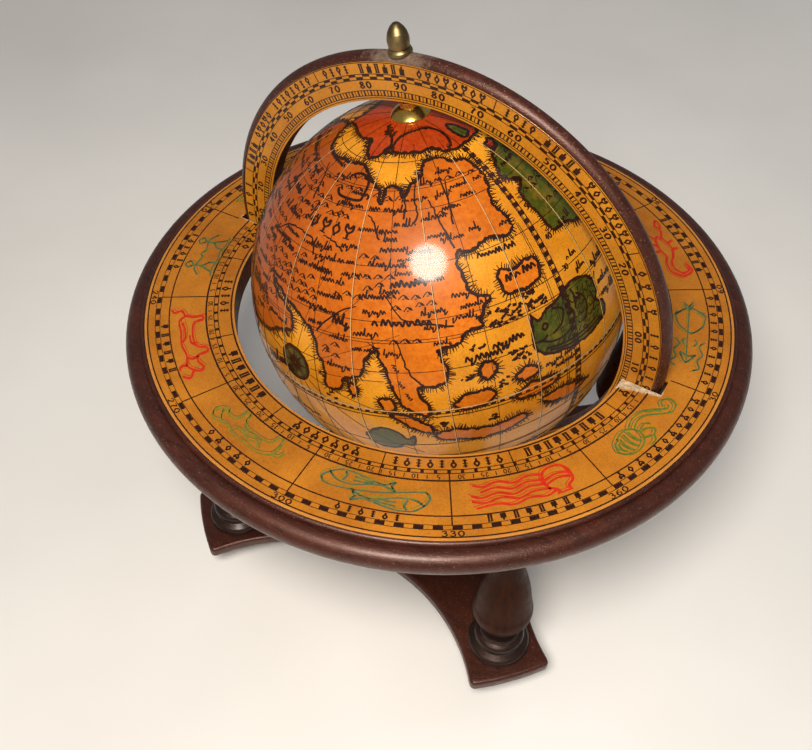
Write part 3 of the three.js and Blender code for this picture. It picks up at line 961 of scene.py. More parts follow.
# The middle radius of each printed band, or the radii of its edges.
MONTH_BAND = 75.55
MONTH_LINE = (73.2, 81.9)
TICK_BAND = (77.9, 79.1)
NUMBER_BAND = 80.5
FIGURE_BAND = 88.3
SIGN_BAND = 96.15
BLOCK_BAND = (97.9, 99.2)
LABEL_BAND = 100.65
SIGNS = 12
SIGN_ANGLE = 360 / SIGNS
# Ornament runs, one for each sign from +X on: how many marks, and the degrees they cover.
MONTH_RUNS = (
    (8, 21), (8, 21), (8, 20), (9, 24), (7, 19), (9, 24),
    (8, 22), (5, 14), (7, 19), (7, 19), (10, 27), (9, 24),
)
SIGN_RUNS = (
    (11, 27), (8, 20), (5, 13), (5, 12), (3, 8), (6, 15),
    (6, 13), (6, 15), (5, 13), (6, 13), (8, 19), (11, 27),
)


def print_horizon_scale(ink_print):
    """The ring lines, the outer blocks, the ticks, the dividers and the degrees of the twelve signs."""
    for radius, width in RING_LINES:
        ring_line(ink_print, radius, width)
    for k in range(9 * SIGNS):
        start = PRINT_TURN + SIGN_ANGLE * k / 9
        block(ink_print, on_horizon, start, start + 1.75, *BLOCK_BAND)
    for k in range(120):
        angle = PRINT_TURN + 3 * k
        if notch_clear(angle, 78.5):
            block(ink_print, on_horizon, angle - 0.4, angle + 0.4, *TICK_BAND)
    for k in range(SIGNS):
        divider = PRINT_TURN + SIGN_ANGLE * k
        inner_end = 79.2 if notch_clear(divider, 80, 1) else MERIDIAN_OUT + 1
        ink_print.line(on_horizon, [(divider, inner_end), (divider, 97.75)], 0.42)
        month = divider + 14.8
        ink_print.line(on_horizon, [(month, radius) for radius in MONTH_LINE], 0.35)
        label = str((30 * k + 30) % 360 or 360)
        local = along_ring(divider, LABEL_BAND, 1, -1)
        ink_print.glyphs(on_horizon, local, label, 1.8, 0.5, advance=0.86, wide=1.6)


def print_horizon_numbers(ink_print):
    """The small degree numbers of each sign, read from outside the ring, and the ticks between them."""
    for k in range(SIGNS):
        for step in range(6):
            angle = PRINT_TURN + SIGN_ANGLE * k + 2.7 + 5 * step
            if notch_clear(angle, NUMBER_BAND, 1.5):
                local = along_ring(angle, NUMBER_BAND, -1, 1)
                ink_print.glyphs(on_horizon, local, str(30 - 5 * step), 1.6, 0.32, advance=0.8)
            if step < 5 and notch_clear(angle + 2.5, NUMBER_BAND, 1):
                ink_print.line(on_horizon, [(angle + 2.5, 79.8), (angle + 2.5, 81.3)], 0.28)


def print_run(ink_print, run, kind, middle, radius, size, thick, wide):
    """One run of ornaments round a middle angle, read from outside the ring."""
    count, span = run
    for place, name in enumerate(ornament_run(count, kind)):
        angle = middle - (place - (count - 1) / 2) * span / count
        if notch_clear(angle, radius, 1.4):
            ink_print.glyphs(on_horizon, along_ring(angle, radius, -1, 1), [name], size, thick, wide=wide)


def print_horizon_bands(ink_print):
    """The ornament runs of the inner month band and of the outer sign band."""
    for k in range(SIGNS):
        sector = PRINT_TURN + SIGN_ANGLE * k
        print_run(ink_print, SIGN_RUNS[k], k, sector + 15, SIGN_BAND, 2.3, 0.62, 1.25)
        print_run(ink_print, MONTH_RUNS[k], k + 2, sector - 0.2, MONTH_BAND, 3.1, 0.72, 1.15)


# ---------------------------------------------------------------- horizon figures
def flipped(strokes, wide=-1, tall=1):
    """The strokes followed by their mirror images."""
    return strokes + [[(wide * x, tall * y) for x, y in stroke] for stroke in strokes]


def placed(strokes, wide, tall, across, up):
    """The strokes stretched, then shifted."""
    return [[(x * wide + across, y * tall + up) for x, y in stroke] for stroke in strokes]


# Each figure is a few pen strokes in millimetres, x clockwise round the ring and y outwards.
FISH = [
    [(-14, 0), (-10, 2.6), (-4, 2.8), (3, 1.2), (8, 0.3), (12, 2.2), (11, 0), (12.5, -2), (8, -0.4),
     (3, -0.6), (-4, -2.6), (-10, -2.4), (-14, 0)],
    [(-8, 2.4), (-7, 0.4), (-8, -2)],
    [(-4, 1.2), (0, 0.7), (4, 0.4)],
    [(-4, -0.6), (0, -0.5), (4, 0)],
]
FIGURES = {
    "fish": [
        *placed(FISH, 0.82, 0.8, -4, 3),
        *placed(FISH, -0.82, -0.8, 4, -2.8),
        [(-15.5, 3), (-17, 0), (-14, -2), (0, 0.2), (14, 1.6), (17, -0.4), (15.5, -2.8)],
    ],
    "jar": [
        [(-8, 4.6), (-13, 4.6)],
        [(-9, 4.6), (-8.6, 3), (-6.4, 1.4), (-6.2, -2.4), (-8.4, -4.8), (-13, -4.8), (-15, -2.4),
         (-14.8, 1.4), (-12.6, 3), (-12.4, 4.6)],
        [(-6.6, 0.4), (-10.6, -0.6), (-14.8, 0.4)],
        [(-6.4, -1.2), (-10.6, -2.2), (-14.8, -1.2)],
        [(-8.6, 3), (-5, 4.2), (0, 3.2), (5, 4.4), (10, 3.2), (16, 4.2)],
        [(-7, 2.2), (-2, 1.4), (3, 2.6), (8, 1.2), (13, 2.4), (17, 1.6)],
        [(-6.2, 0.2), (-1, -0.6), (4, 0.8), (9, -0.6), (14, 0.6), (17, -0.4)],
        [(-6.2, -1.4), (-1, -2.4), (4, -1.2), (9, -2.6), (14, -1.4)],
        [(-7, -3.2), (-2, -4.4), (3, -3.2), (8, -4.6), (13, -3.4), (16, -4.2)],
    ],
    "goat": [
        [(12.5, -1.5), (13.5, 1.5), (11, 4), (7, 4.4), (3.5, 2.6), (2.5, -0.6), (4.5, -3),
         (8, -3.6), (12.5, -1.5)],
        [(5, 2.8), (5.6, 0), (5.4, -2.6)],
        [(7, 3.6), (7.8, 0.4), (7.4, -2.8)],
        [(9.2, 3.6), (10, 0.6), (9.6, -2.2)],
        [(11.2, 2.8), (12, 0.8), (11.4, -1.2)],
        [(3.5, 2.4), (0.5, 3.8), (-1.8, 2.8), (-0.6, 1), (2.6, 0.2)],
        [(0.2, 3.7), (1.5, 5.4), (4.2, 5.6)],
        [(3, -1.8), (-1, -3.2), (-5, -2), (-8, 0.8), (-11, 3.4), (-14.4, 3), (-15.4, 0.4), (-13.2, -1.4),
         (-11.2, 0)],
        [(4.5, -3), (0, -4.8), (-5.8, -3.8), (-9.2, -0.8), (-11.4, 1.6), (-13, 1)],
        [(1.4, -0.6), (-1.4, -0.8), (-2.6, 0.6)],
        [(-6.4, -2.6), (-7.6, -1.4)],
        [(-8.4, -0.8), (-9.4, 0.6)],
    ],
    "bow": [
        [(-10, -5.2), (-5.4, -4.2), (-2.4, -1.8), (-1.4, 0), (-2.4, 1.8), (-5.4, 4.2), (-10, 5.2)],
        *flipped([[(-10, -5.2), (-11.8, -4.4), (-11.2, -3.2)]], 1, -1),
        [(-10, -5.2), (-14, 0), (-10, 5.2)],
        [(-14, 0), (12, 0)],
        [(8.6, 2.6), (12.8, 0), (8.6, -2.6), (9.6, 0), (8.6, 2.6)],
        [(-17, 1.8), (-14.6, 0), (-17, -1.8)],
        [(-15.4, 1.8), (-13, 0), (-15.4, -1.8)],
        *flipped([[(2, 5), (4.6, 3.4), (8, 4.8), (11, 3.6), (14, 4.8), (15.6, 3)]], 1, -1),
        *flipped([[(1.4, 1.6), (3, 2.4), (4.6, 1.6)]], 1, -1),
    ],
    "scorpion": [
        [(-4, 1.8), (1, 2.4), (5, 1.2), (8, -0.6), (12, -0.8), (14.4, 1.6), (12.6, 4.4), (9.6, 3.8)],
        [(-4, -1.6), (1, -2.2), (5, -1.4), (8, -2.6), (13, -2.6), (16, 1), (13.6, 5.2), (9.6, 3.8)],
        [(-4, 1.8), (-6.4, 0), (-4, -1.6)],
        [(-5, 1.2), (-9, 3.2), (-12, 2.6), (-14.4, 4.4), (-12.4, 4.8), (-10, 3.6)],
        [(-5, -1), (-9, -3), (-12, -2.6), (-14.4, -4.4), (-12.4, -4.8), (-10, -3.6)],
        [(-2, 2.2), (-3, 4.6)],
        [(1.4, 2.3), (1.4, 4.8)],
        [(-2, -2), (-3, -4.6)],
        [(1.4, -2.1), (1.4, -4.8)],
    ],
    "scales": [
        [(0, 5.4), (0, -4.6)],
        [(-13, 3.4), (-6, 4.4), (0, 3.8), (6, 4.4), (13, 3.4)],
        [(-13, 3.4), (-16, -1.4)],
        [(-13, 3.4), (-9.6, -1.4)],
        [(13, 3.4), (9.6, -1.4)],
        [(13, 3.4), (16, -1.4)],
        [(-16.4, -1.4), (-12.8, -3.6), (-9.2, -1.4), (-16.4, -1.4)],
        [(9.2, -1.4), (12.8, -3.6), (16.4, -1.4), (9.2, -1.4)],
        [(-4, -5), (0, -4.2), (4, -5)],
    ],
    "sheaf": [
        [(-14, -3.6), (-6, -1), (2, 0), (13, 3.6)],
        [(-14, 0), (-6, 0), (2, 0), (15, 0)],
        [(-14, 3.6), (-6, 1), (2, 0), (13, -3.6)],
        *flipped([[(-13, -1.8), (-5, -0.5), (2, 0), (14.5, 1.8)]], 1, -1),
        [(0.4, 2), (1.8, 0), (0.4, -2)],
        [(2, 2), (3.4, 0), (2, -2)],
        *flipped([[(10, 4.4), (12, 2.6), (14.6, 4.2)]], 1, -1),
    ],
    "lion": [
        [(-8, 2.6), (-4, 2), (2, 2.4), (8, 2.2), (11, 0), (11.4, -5)],
        [(11.4, -5), (9.4, -5), (8.6, -1.6), (2, -1.4), (-4, -1.8), (-5.4, -5), (-7.6, -5), (-7.4, -1.2)],
        [(-7.4, -1.6), (-9, -2.6), (-11.4, -1.8), (-13.6, -0.2), (-13.2, 2.4), (-10.8, 4.6), (-7.6, 4),
         (-6, 1.8), (-7.4, -1.6)],
        [(-12, 2.4), (-10.4, 3), (-9, 1.6), (-9.8, 0), (-11.6, 0.2), (-12, 2.4)],
        [(11, 0), (14, 1.4), (15, 4.2), (16.6, 5)],
        [(15.6, 5.4), (16.8, 4.8), (16.4, 3.6)],
    ],
    "crab": [
        [(-6, 0), (-3, 2.8), (3, 2.8), (6, 0), (3, -2.6), (-3, -2.6), (-6, 0)],
        *flipped([[(-5, 1.8), (-9, 3.6), (-13, 3), (-15.4, 4.8), (-12.6, 5.4), (-10.4, 4.2)]]),
        *flipped([[(-5.8, -0.2), (-9, 0.4), (-11.6, -1.4)]]),
        *flipped([[(-4.8, -1.6), (-8, -2), (-9.8, -4.4)]]),
        [(-2, 0.6), (2, 0.6)],
    ],
    "pair": [
        *flipped([[(-6.4, 5.2), (-4.8, 3.8), (-6.4, 2.4), (-8, 3.8), (-6.4, 5.2)]]),
        *flipped([[(-6.4, 2.4), (-6.8, -1), (-9.4, -5.2)], [(-6.6, -1), (-4.4, -3), (-4, -5.2)]]),
        [(-11.4, -0.6), (-8.6, 1.2), (-6.5, 1.4), (-2, 0.4), (0, 1.4), (2, 0.4), (6.5, 1.4), (8.6, 1.2),
         (11.4, -0.6)],
        [(-11.6, -5.4), (-7, -5), (-2, -5.6), (2, -5), (7, -5.6), (11.6, -5.2)],
    ],
    "bull": [
        [(-13, 0.6), (-10, 2.8), (-5, 2), (0, 2.8), (6, 2.4), (11, 2.8), (13.4, 0.4), (12.6, -2),
         (13, -5.2)],
        [(13, -5.2), (10.8, -5.2), (9.6, -2.2), (3, -1.4), (-2, -2.2), (-3.4, -5.2)],
        [(-3.4, -5.2), (-5.6, -5), (-6.4, -1.8), (-9, -1), (-12, -2), (-13.6, -1), (-13, 0.6)],
        [(-12.4, 1.4), (-15.2, 3.4), (-13.6, 5.6)],
        [(-9.6, 2.8), (-9.4, 5), (-11.2, 5.6)],
        [(13.2, 0.6), (16, 2), (15.4, 4.4), (17, 5.6)],
        [(-6, 2), (-7.4, 0.4), (-6.4, -1.6)],
        [(1, 2.6), (3, 1.2), (7, 1), (10.4, 1.6)],
        [(-1.4, -1.8), (0.6, -0.4), (4, -0.4)],
    ],
    "ram": [
        [(12, 1.6), (9.4, 3.2), (7.4, 2.2), (3, 3.4), (-2, 3), (-7, 3.2), (-11, 1.4), (-12, -1.4),
         (-11.2, -5.2)],
        [(-11.2, -5.2), (-9, -5.2), (-8, -2.2), (-2, -1.4), (3.4, -2), (5, -5.2), (7, -5.2), (7, -1.6),
         (9, -0.6), (12.6, -0.4), (12, 1.6)],
        [(9.6, 3), (12.4, 4.4), (14.6, 2.6), (14, 0), (12, -1.4), (10.4, 0)],
        [(-11.2, 1.2), (-13.8, 0.8), (-14.6, -1.6)],
        [(-7, 1.4), (-4, 0.6), (-1, 1.6), (2, 0.6), (5, 1.6)],
        [(-6, -0.2), (-3, -0.8), (0, 0), (3, -0.8)],
    ],
}
# The figure and the ink of each sector, from +X on.
ZODIAC = (
    ("bow", "teal"),
    ("scorpion", "red"),
    ("scales", "olive"),
    ("sheaf", "teal"),
    ("lion", "red"),
    ("crab", "green"),
    ("pair", "teal"),
    ("bull", "red"),
    ("ram", "olive"),
    ("fish", "teal"),
    ("jar", "red"),
    ("goat", "green"),
)
SHADOW_INK = {"teal": "olive", "red": "red", "olive": "teal", "green": "teal"}


def print_figures(prints):
    """Draws each sign's figure in its colour, with a thin second contour beside every stroke."""
    for place, (figure, colour) in enumerate(ZODIAC):
        local = along_ring(PRINT_TURN + SIGN_ANGLE * (place + 0.5), FIGURE_BAND, -1, 1)
        thick = 1.05 if colour == "red" else 0.8
        for spots in FIGURES[figure]:
            middle_spot = spots[len(spots) // 2]
            if notch_clear(*local(*middle_spot), 1):
                prints[colour].stroke(on_horizon, local, spots, thick, 0.6 * thick)
                shadow = [(x + 0.75, y - 0.8) for x, y in spots]
                prints[SHADOW_INK[colour]].stroke(on_horizon, local, shadow, 0.34, 0.2)


def build_horizon_print():
    black = Print("horizon_print_black", "stand", BLACK_INK)
    print_horizon_scale(black)
    print_horizon_numbers(black)
    print_horizon_bands(black)
    black.finish()
    looks = {"red": RED_INK, "teal": TEAL_INK, "green": GREEN_INK, "olive": OLIVE_INK}
    prints = {colour: Print("horizon_figures_" + colour, "stand", look) for colour, look in looks.items()}
    print_figures(prints)
    for figure_print in prints.values():
        figure_print.finish()


# ---------------------------------------------------------------- meridian print
MERIDIAN_INK = 0.035  # how high the ink stands over the paper
DEGREE_BAND = 75.2
ZONE_BAND = 80.55
MERIDIAN_LINES = ((82.4, 0.25), (78.75, 0.24), (76.9, 0.24), (73.4, 0.24), (71.6, 0.24), (70.9, 0.24))
# Ornament runs of the cold, mild and hot zones: degrees from the pole of the run's middle, half its
# length in degrees, and the words as numbers of marks.
ZONES = ((0, 21.5, (4, 6, 8)), (45, 19.5, (4, 5, 8)), (90, 20, (4, 7)), (135, 19.5, (4, 5, 8)))


def print_degrees(black, surface, side):
    """The scale lines, the ticks, the two rows of blocks and the degree numbers."""
    for radius, width in MERIDIAN_LINES:
        black.line(surface, [(side * -2 * a, radius) for a in range(180)], width, True)
    for k in range(360):
        angle = POLE_ANGLE + k
        black.line(surface, [(angle, 71.65), (angle, 73.35)], 0.62 if k % 2 else 0.3)
    for k in range(180):
        low = 77.05 + 0.85 * ((k + 1) % 2)
        block(black, surface, POLE_ANGLE + 2 * k, POLE_ANGLE + 2 * k + 2, low, low + 0.8)
    for k in range(36):
        label = str(abs(90 - (10 * k) % 180))
        local = along_ring(POLE_ANGLE + 10 * k, DEGREE_BAND, side, 1)
        black.glyphs(surface, local, "00" if label == "0" else label, 2.1, 0.7, advance=0.95, wide=1.3)


def print_zones(black, surface, side):
    """Ornament runs for the cold, mild and hot zones, with a divider at each circle."""
    for start in (0, 180):
        for circle in (23.5, 66.5, 113.5, 156.5):
            angle = POLE_ANGLE + start + circle
            black.line(surface, [(angle, 78.8), (angle, 82.3)], 0.32)
    for middle, half, words in ZONES:
        for start in (0, 180):
            pitch = 2 * half / (sum(words) + len(words) - 1)
            place = 0
            for word, count in enumerate(words):
                for name in ornament_run(count, word + middle // 45):
                    angle = POLE_ANGLE + start + middle - ((place + 0.5) * pitch - half)
                    black.glyphs(surface, along_ring(angle, ZONE_BAND, side, 1), [name], 2.85, 0.62)
                    place += 1
                place += 1


def build_meridian_print():
    for name, side in (("front", -1), ("back", 1)):
        surface = meridian_face(side)
        black = Print("meridian_print_" + name, "meridian", BLACK_INK, MERIDIAN_INK)
        print_degrees(black, surface, side)
        print_zones(black, surface, side)
        black.finish()


# ---------------------------------------------------------------- the map
# Shores as (longitude, latitude) in the globe's own degrees.
OLD_WORLD = [
    (-178, 58), (-176, 62), (-170, 69), (-160, 71), (-150, 68.5), (-140, 67), (-130, 66.5), (-120, 67),
    (-108, 67.3), (-102, 68.5), (-96, 68), (-89, 66.5), (-84, 64.3), (-80, 62.3), (-77, 61), (-75.5, 57.5),
    (-73.5, 62), (-69, 62.5), (-66, 61), (-63.5, 59.8), (-61.5, 62), (-57.5, 64), (-53.5, 65.5), (-52, 67.5),
    (-49, 69), (-45, 69.7), (-40, 69.7), (-35, 68.3), (-31, 67), (-27, 66.3), (-23.3, 65.8), (-21, 63.5),
    (-20.5, 60.2), (-21.7, 57.4), (-24.2, 54), (-25.3, 51), (-24, 48.5), (-22.8, 46.3), (-24, 43.5),
    (-27.2, 42.7), (-30, 43), (-32.8, 44), (-37.8, 43), (-41, 42.2), (-45, 43), (-46.5, 40), (-45.5, 36),
    (-44, 32), (-40, 29.5), (-41, 28), (-43, 25.5), (-44, 23), (-48, 22.5), (-50.5, 20), (-55.5, 19),
    (-57, 18.5), (-55.5, 15), (-55, 12.5), (-56, 9.5), (-58.5, 8.5), (-62, 8.3), (-64, 8), (-62.5, 4),
    (-61.5, 0), (-62.5, -1.8), (-66, -0.5), (-69.5, 3.5), (-70.5, 8), (-71.5, 13), (-73.5, 17.5),
    (-74.7, 20.5), (-75.5, 19), (-78, 15), (-79.5, 11.5), (-83, 10), (-85, 8.5), (-86.5, 5.5), (-89.5, 4.3),
    (-91.5, 6.5), (-91.5, 11.5), (-93, 14.5), (-94, 18.5), (-96, 21.3), (-99, 23), (-102, 25),
    (-107.5, 26.5),
    (-112, 28), (-117, 29.5), (-113, 26), (-108, 24.5), (-105, 23), (-103.5, 20.5), (-104.5, 18),
    (-109, 16.5), (-115, 13.5), (-122, 11.5), (-127, 12), (-132, 17), (-138, 27), (-140, 30), (-134, 18),
    (-129, 10.5), (-127, 9), (-131, 3), (-136, -3), (-138, -10), (-139, -17), (-143, -24), (-147, -31),
    (-152, -34), (-157, -34), (-160, -28), (-161, -20), (-164, -12), (-163, -6), (-166, 0), (-168, 4),
    (-176, 5), (-186, 5), (-192, 10), (-196, 16), (-195, 22), (-191, 28), (-186, 33), (-181, 35), (-172, 36),
    (-166, 33), (-158, 31), (-150, 31.5), (-145, 32), (-143, 36), (-150, 36.5), (-153, 40), (-157, 37),
    (-162, 41), (-165, 38), (-168, 42), (-173, 43.5), (-177, 40), (-182, 37.2), (-185, 38), (-185, 43),
    (-179, 43.5), (-178, 47.5), (-174, 50), (-169, 53), (-172, 56),
]
NORTH_LAND = [
    (-150, 74.5), (-135, 75), (-120, 75), (-110, 76), (-105, 75), (-102, 73), (-98, 71.5), (-92, 71),
    (-86, 73), (-80, 76), (-76, 74), (-70, 73.2), (-62, 73), (-55, 73), (-46.7, 73.3), (-39.5, 73),
    (-35, 72), (-30, 70.5), (-19.5, 70), (-8, 70), (2, 70), (12, 72), (24, 76), (40, 75), (60, 73),
    (80, 76), (100, 74), (120, 75), (140, 72), (160, 75), (180, 76), (196, 73),
]
NORTH_AMERICA = [
    (-14.2, 56.9), (-10.6, 59.1), (-8.3, 61.9), (-3.9, 63), (2.8, 64.7), (15, 66.5), (30, 69), (46, 70),
    (60, 69), (74, 67), (82, 62), (80, 56), (86, 52), (92, 57), (100, 60), (110, 56), (114, 50), (108, 46),
    (100, 42), (94, 36), (90, 31), (88, 25), (84, 29), (76, 30), (68, 30), (64, 25), (66, 20), (72, 17),
    (78, 12), (76, 8), (68, 10.5), (60, 14), (52, 16.5), (45, 20), (38, 22.5), (30, 25), (20, 28), (12, 31),
    (3.9, 33.6), (0.6, 35.2), (-3.3, 36.3), (-8.3, 36.9), (-10.6, 39.1), (-11.1, 43), (-11.9, 46.9),
    (-11.7, 50.2), (-8.9, 51.3), (-6.7, 52.7), (-8.9, 54.1), (-12.8, 55.2),
]
SOUTH_AMERICA = [
    (78, 9), (86, 12), (94, 10), (104, 6), (112, 1), (122, -5), (125, -9), (121, -17), (117, -23),
    (110, -29), (104, -36), (98, -44), (93, -52), (89, -54), (86, -48), (87, -38), (88, -28), (86, -18),
    (80, -12), (75, -6), (74, 0), (76, 5),
]
SOUTH_LAND = [
    (-180, -64), (-150, -60), (-120, -66), (-90, -62), (-60, -55), (-30, -58), (0, -64), (30, -60),
    (60, -66), (90, -68), (120, -62), (150, -66),
]
BRITAIN = [(-182, 50.5), (-177, 51.5), (-177, 54), (-180, 58), (-184, 56), (-183, 53)]
POLAR_PATCH = [(-9, 72), (-4, 71.4), (0.5, 72.6), (1, 76), (-4, 78), (-9.5, 76)]
POLAR_STRIP = [(-3.3, 64.2), (0.5, 63.6), (3.9, 65), (3.5, 66.8), (0, 66.4), (-3, 66)]
# Shore lines inside the polar land, on both sides of its strait.
POLAR_SHORES = [
    [(-81, 75.5), (-84, 78), (-96, 80.5), (-112, 82.5)],
    [(-78, 75.5), (-75, 78.5), (-62, 80.6), (-42, 81.2), (-27, 80.2), (-20, 77.5), (-21, 73), (-27, 71)],
]
ISLES = [
    [(-35, 33.2), (-33, 34.8), (-29, 34.2), (-25, 35), (-21.5, 34), (-21.2, 31.5), (-23, 29), (-27, 28.2),
     (-31, 28.5), (-34.8, 29.3)],
    [(-55, 1.5), (-52, 3.5), (-49, 4.5), (-45.5, 4.5), (-43.7, 2.5), (-45, 0), (-49, -0.8), (-53, -0.5)],
    [(-37, 5.5), (-34.5, 7.2), (-31.5, 6.7), (-30.2, 5), (-32, 3.8), (-34, 3.2), (-36.3, 4)],
    [(-38, -1.5), (-35, 0.8), (-30, 1), (-25.5, 0), (-25, -2), (-29, -3.5), (-35, -3.5)],
    [(-72, -1), (-69.5, -1.3), (-66, -3.2), (-62.5, -6), (-62, -8.8), (-65, -8.5), (-68.5, -5.5),
     (-71.5, -3)],
    [(-75, 3.5), (-72.5, 4.5), (-70.8, 3), (-71.5, 0.5), (-74, 0.3)],
    [(-61, -9.5), (-56, -8.5), (-51, -9.5), (-45, -10.5), (-37, -9.5), (-35, -11.5), (-40, -14), (-48, -15),
     (-56, -13.5), (-60.5, -12.5)],
    [(-46.7, 11), (-45, 13), (-42.5, 12), (-42.2, 9), (-44.5, 7.5), (-46.5, 9)],
    [(-83.5, 7.5), (-82, 8), (-81, 6), (-82, 3.8), (-83.3, 4.8)],
    [(-30, -7), (-24, -6), (-18, -8), (-14, -11), (-20, -12), (-27, -10)],
    [(-133, -12), (-131, -15), (-132, -21), (-134.5, -25), (-136, -22), (-135, -16)],
]
WHALE = [
    (-30, 15.8), (-29.6, 17.6), (-29.4, 21.2), (-27.3, 18.6), (-24.6, 20.4), (-21.7, 20.8), (-17.2, 22.2),
    (-12.8, 23), (-8.9, 22.2), (-5.6, 19.7), (-4.7, 16.3), (-6.1, 13), (-3.3, 10.8), (-3.3, 7.4),
    (-7.8, 5.8), (-12.8, 5.2), (-19.4, 6), (-23.9, 6.9), (-28.3, 9.1), (-30.3, 11.9),
]
# The beast's gills, fins, belly lines, eye, mouth and tail.
WHALE_LINES = [
    [(-28.5, 13), (-25, 11), (-20.5, 10.5), (-17, 12), (-15.5, 15), (-17.5, 18)],
    [(-24, 13), (-20.5, 14.5), (-19, 18), (-22, 19.6)],
    [(-13, 10.5), (-10.5, 13), (-10.5, 17), (-13, 19.5)],
    [(-27, 9.8), (-20, 8.2), (-13, 8), (-7, 8.6)],
    [(-26, 8.8), (-20, 7.1), (-13, 6.8), (-6, 7.6)],
    [(-8.5, 11), (-7, 13.5), (-7.6, 17)],
    [(-27, 16), (-26, 17), (-25, 16.2), (-26, 15.2), (-27, 16)],
    [(-17.5, 21), (-16.5, 18.5), (-17, 16.5)],
    [(-14.5, 21.6), (-13.8, 19), (-14.4, 16)],
    [(-30, 13), (-27.5, 12.6), (-25.8, 13.6)],
    [(-12.4, 6.4), (-9, 7.2), (-5, 7.2)],
]
SMALL_FISH = [
    (-82.5, -13), (-80, -9.8), (-76.5, -7.6), (-72.5, -9), (-70, -12.5), (-67.5, -10.6), (-68.6, -15.4),
    (-71.5, -15.6), (-75, -18), (-80, -17.4),
]
RIVERS = [
    [(-115, 45), (-109, 45.2), (-103, 44.5), (-100, 41)],
    [(-98.5, 46.7), (-92.5, 46), (-88, 44)],
    [(-80.5, 54.5), (-77, 52.5), (-74, 48)],
    [(-63.5, 59.8), (-63, 56.5), (-64, 53.5)],
    [(-57.5, 63.5), (-58.5, 58), (-58, 54), (-60, 52)],
    [(-52, 58), (-50.5, 54.5), (-48, 49), (-46, 44)],
    [(-43.5, 63), (-43, 59)],
    [(-41, 62), (-43, 56), (-44, 50)],
    [(-80.5, 30.5), (-85, 29), (-91, 24.5), (-93.5, 21.5)],
    [(-70, 33.5), (-65, 27.5), (-55, 25.5), (-51.5, 24.5)],
    [(-68, 22), (-67, 18), (-65.5, 13), (-62, 8.5)],
    [(-124, 64), (-118, 60), (-114, 54)],
    [(-140, 62), (-136, 55), (-140, 48)],
    [(-126, 40), (-120, 44), (-115, 45)],
    [(-152, 31), (-153, 22), (-150, 12), (-152, 0)],
    [(-186, 14), (-178, 16), (-172, 12), (-168, 4)],
    [(62, 30), (66, 38), (60, 46), (62, 52)],
    [(122, -8), (108, -6), (94, -4), (82, -6)],
    [(104, -34), (98, -28), (97, -18)],
    [(20, 62), (26, 54), (34, 50), (36, 42)],
]
INLET = [
    (-100, 64), (-95, 65.5), (-88, 65), (-85.5, 63), (-86, 59.5), (-88, 58), (-99.5, 58.2), (-103, 60),
]
# Rows of small hills: longitude of the middle, latitude, how many.
HILLS = [
    (-102, 53.5, 4), (-93.5, 53, 2), (-76.7, 44, 2), (-75, 38, 4), (-74.5, 36, 2), (-63, 34, 4),
    (-62, 31, 4),
    (-88.5, 18.4, 2), (-88.5, 16, 2), (-121, 36.6, 5), (-118, 34.2, 6), (-110, 32.6, 5), (-104, 34.6, 4),
    (-103, 30.4, 5), (-122, 31, 3), (-113, 56, 4), (-124, 52, 4), (-130, 44, 4), (-136, 58, 4),
    (-160, 56, 4),
    (-160, 22, 4), (-178, 20, 4), (-150, -16, 3), (70, 50, 4), (48, 58, 4), (88, 42, 4), (98, -10, 4),
    (94, -36, 3), (20, 56, 4), (8, 46, 3), (-96, 60.5, 3), (-45, 54, 2), (-32, 62, 3),
]
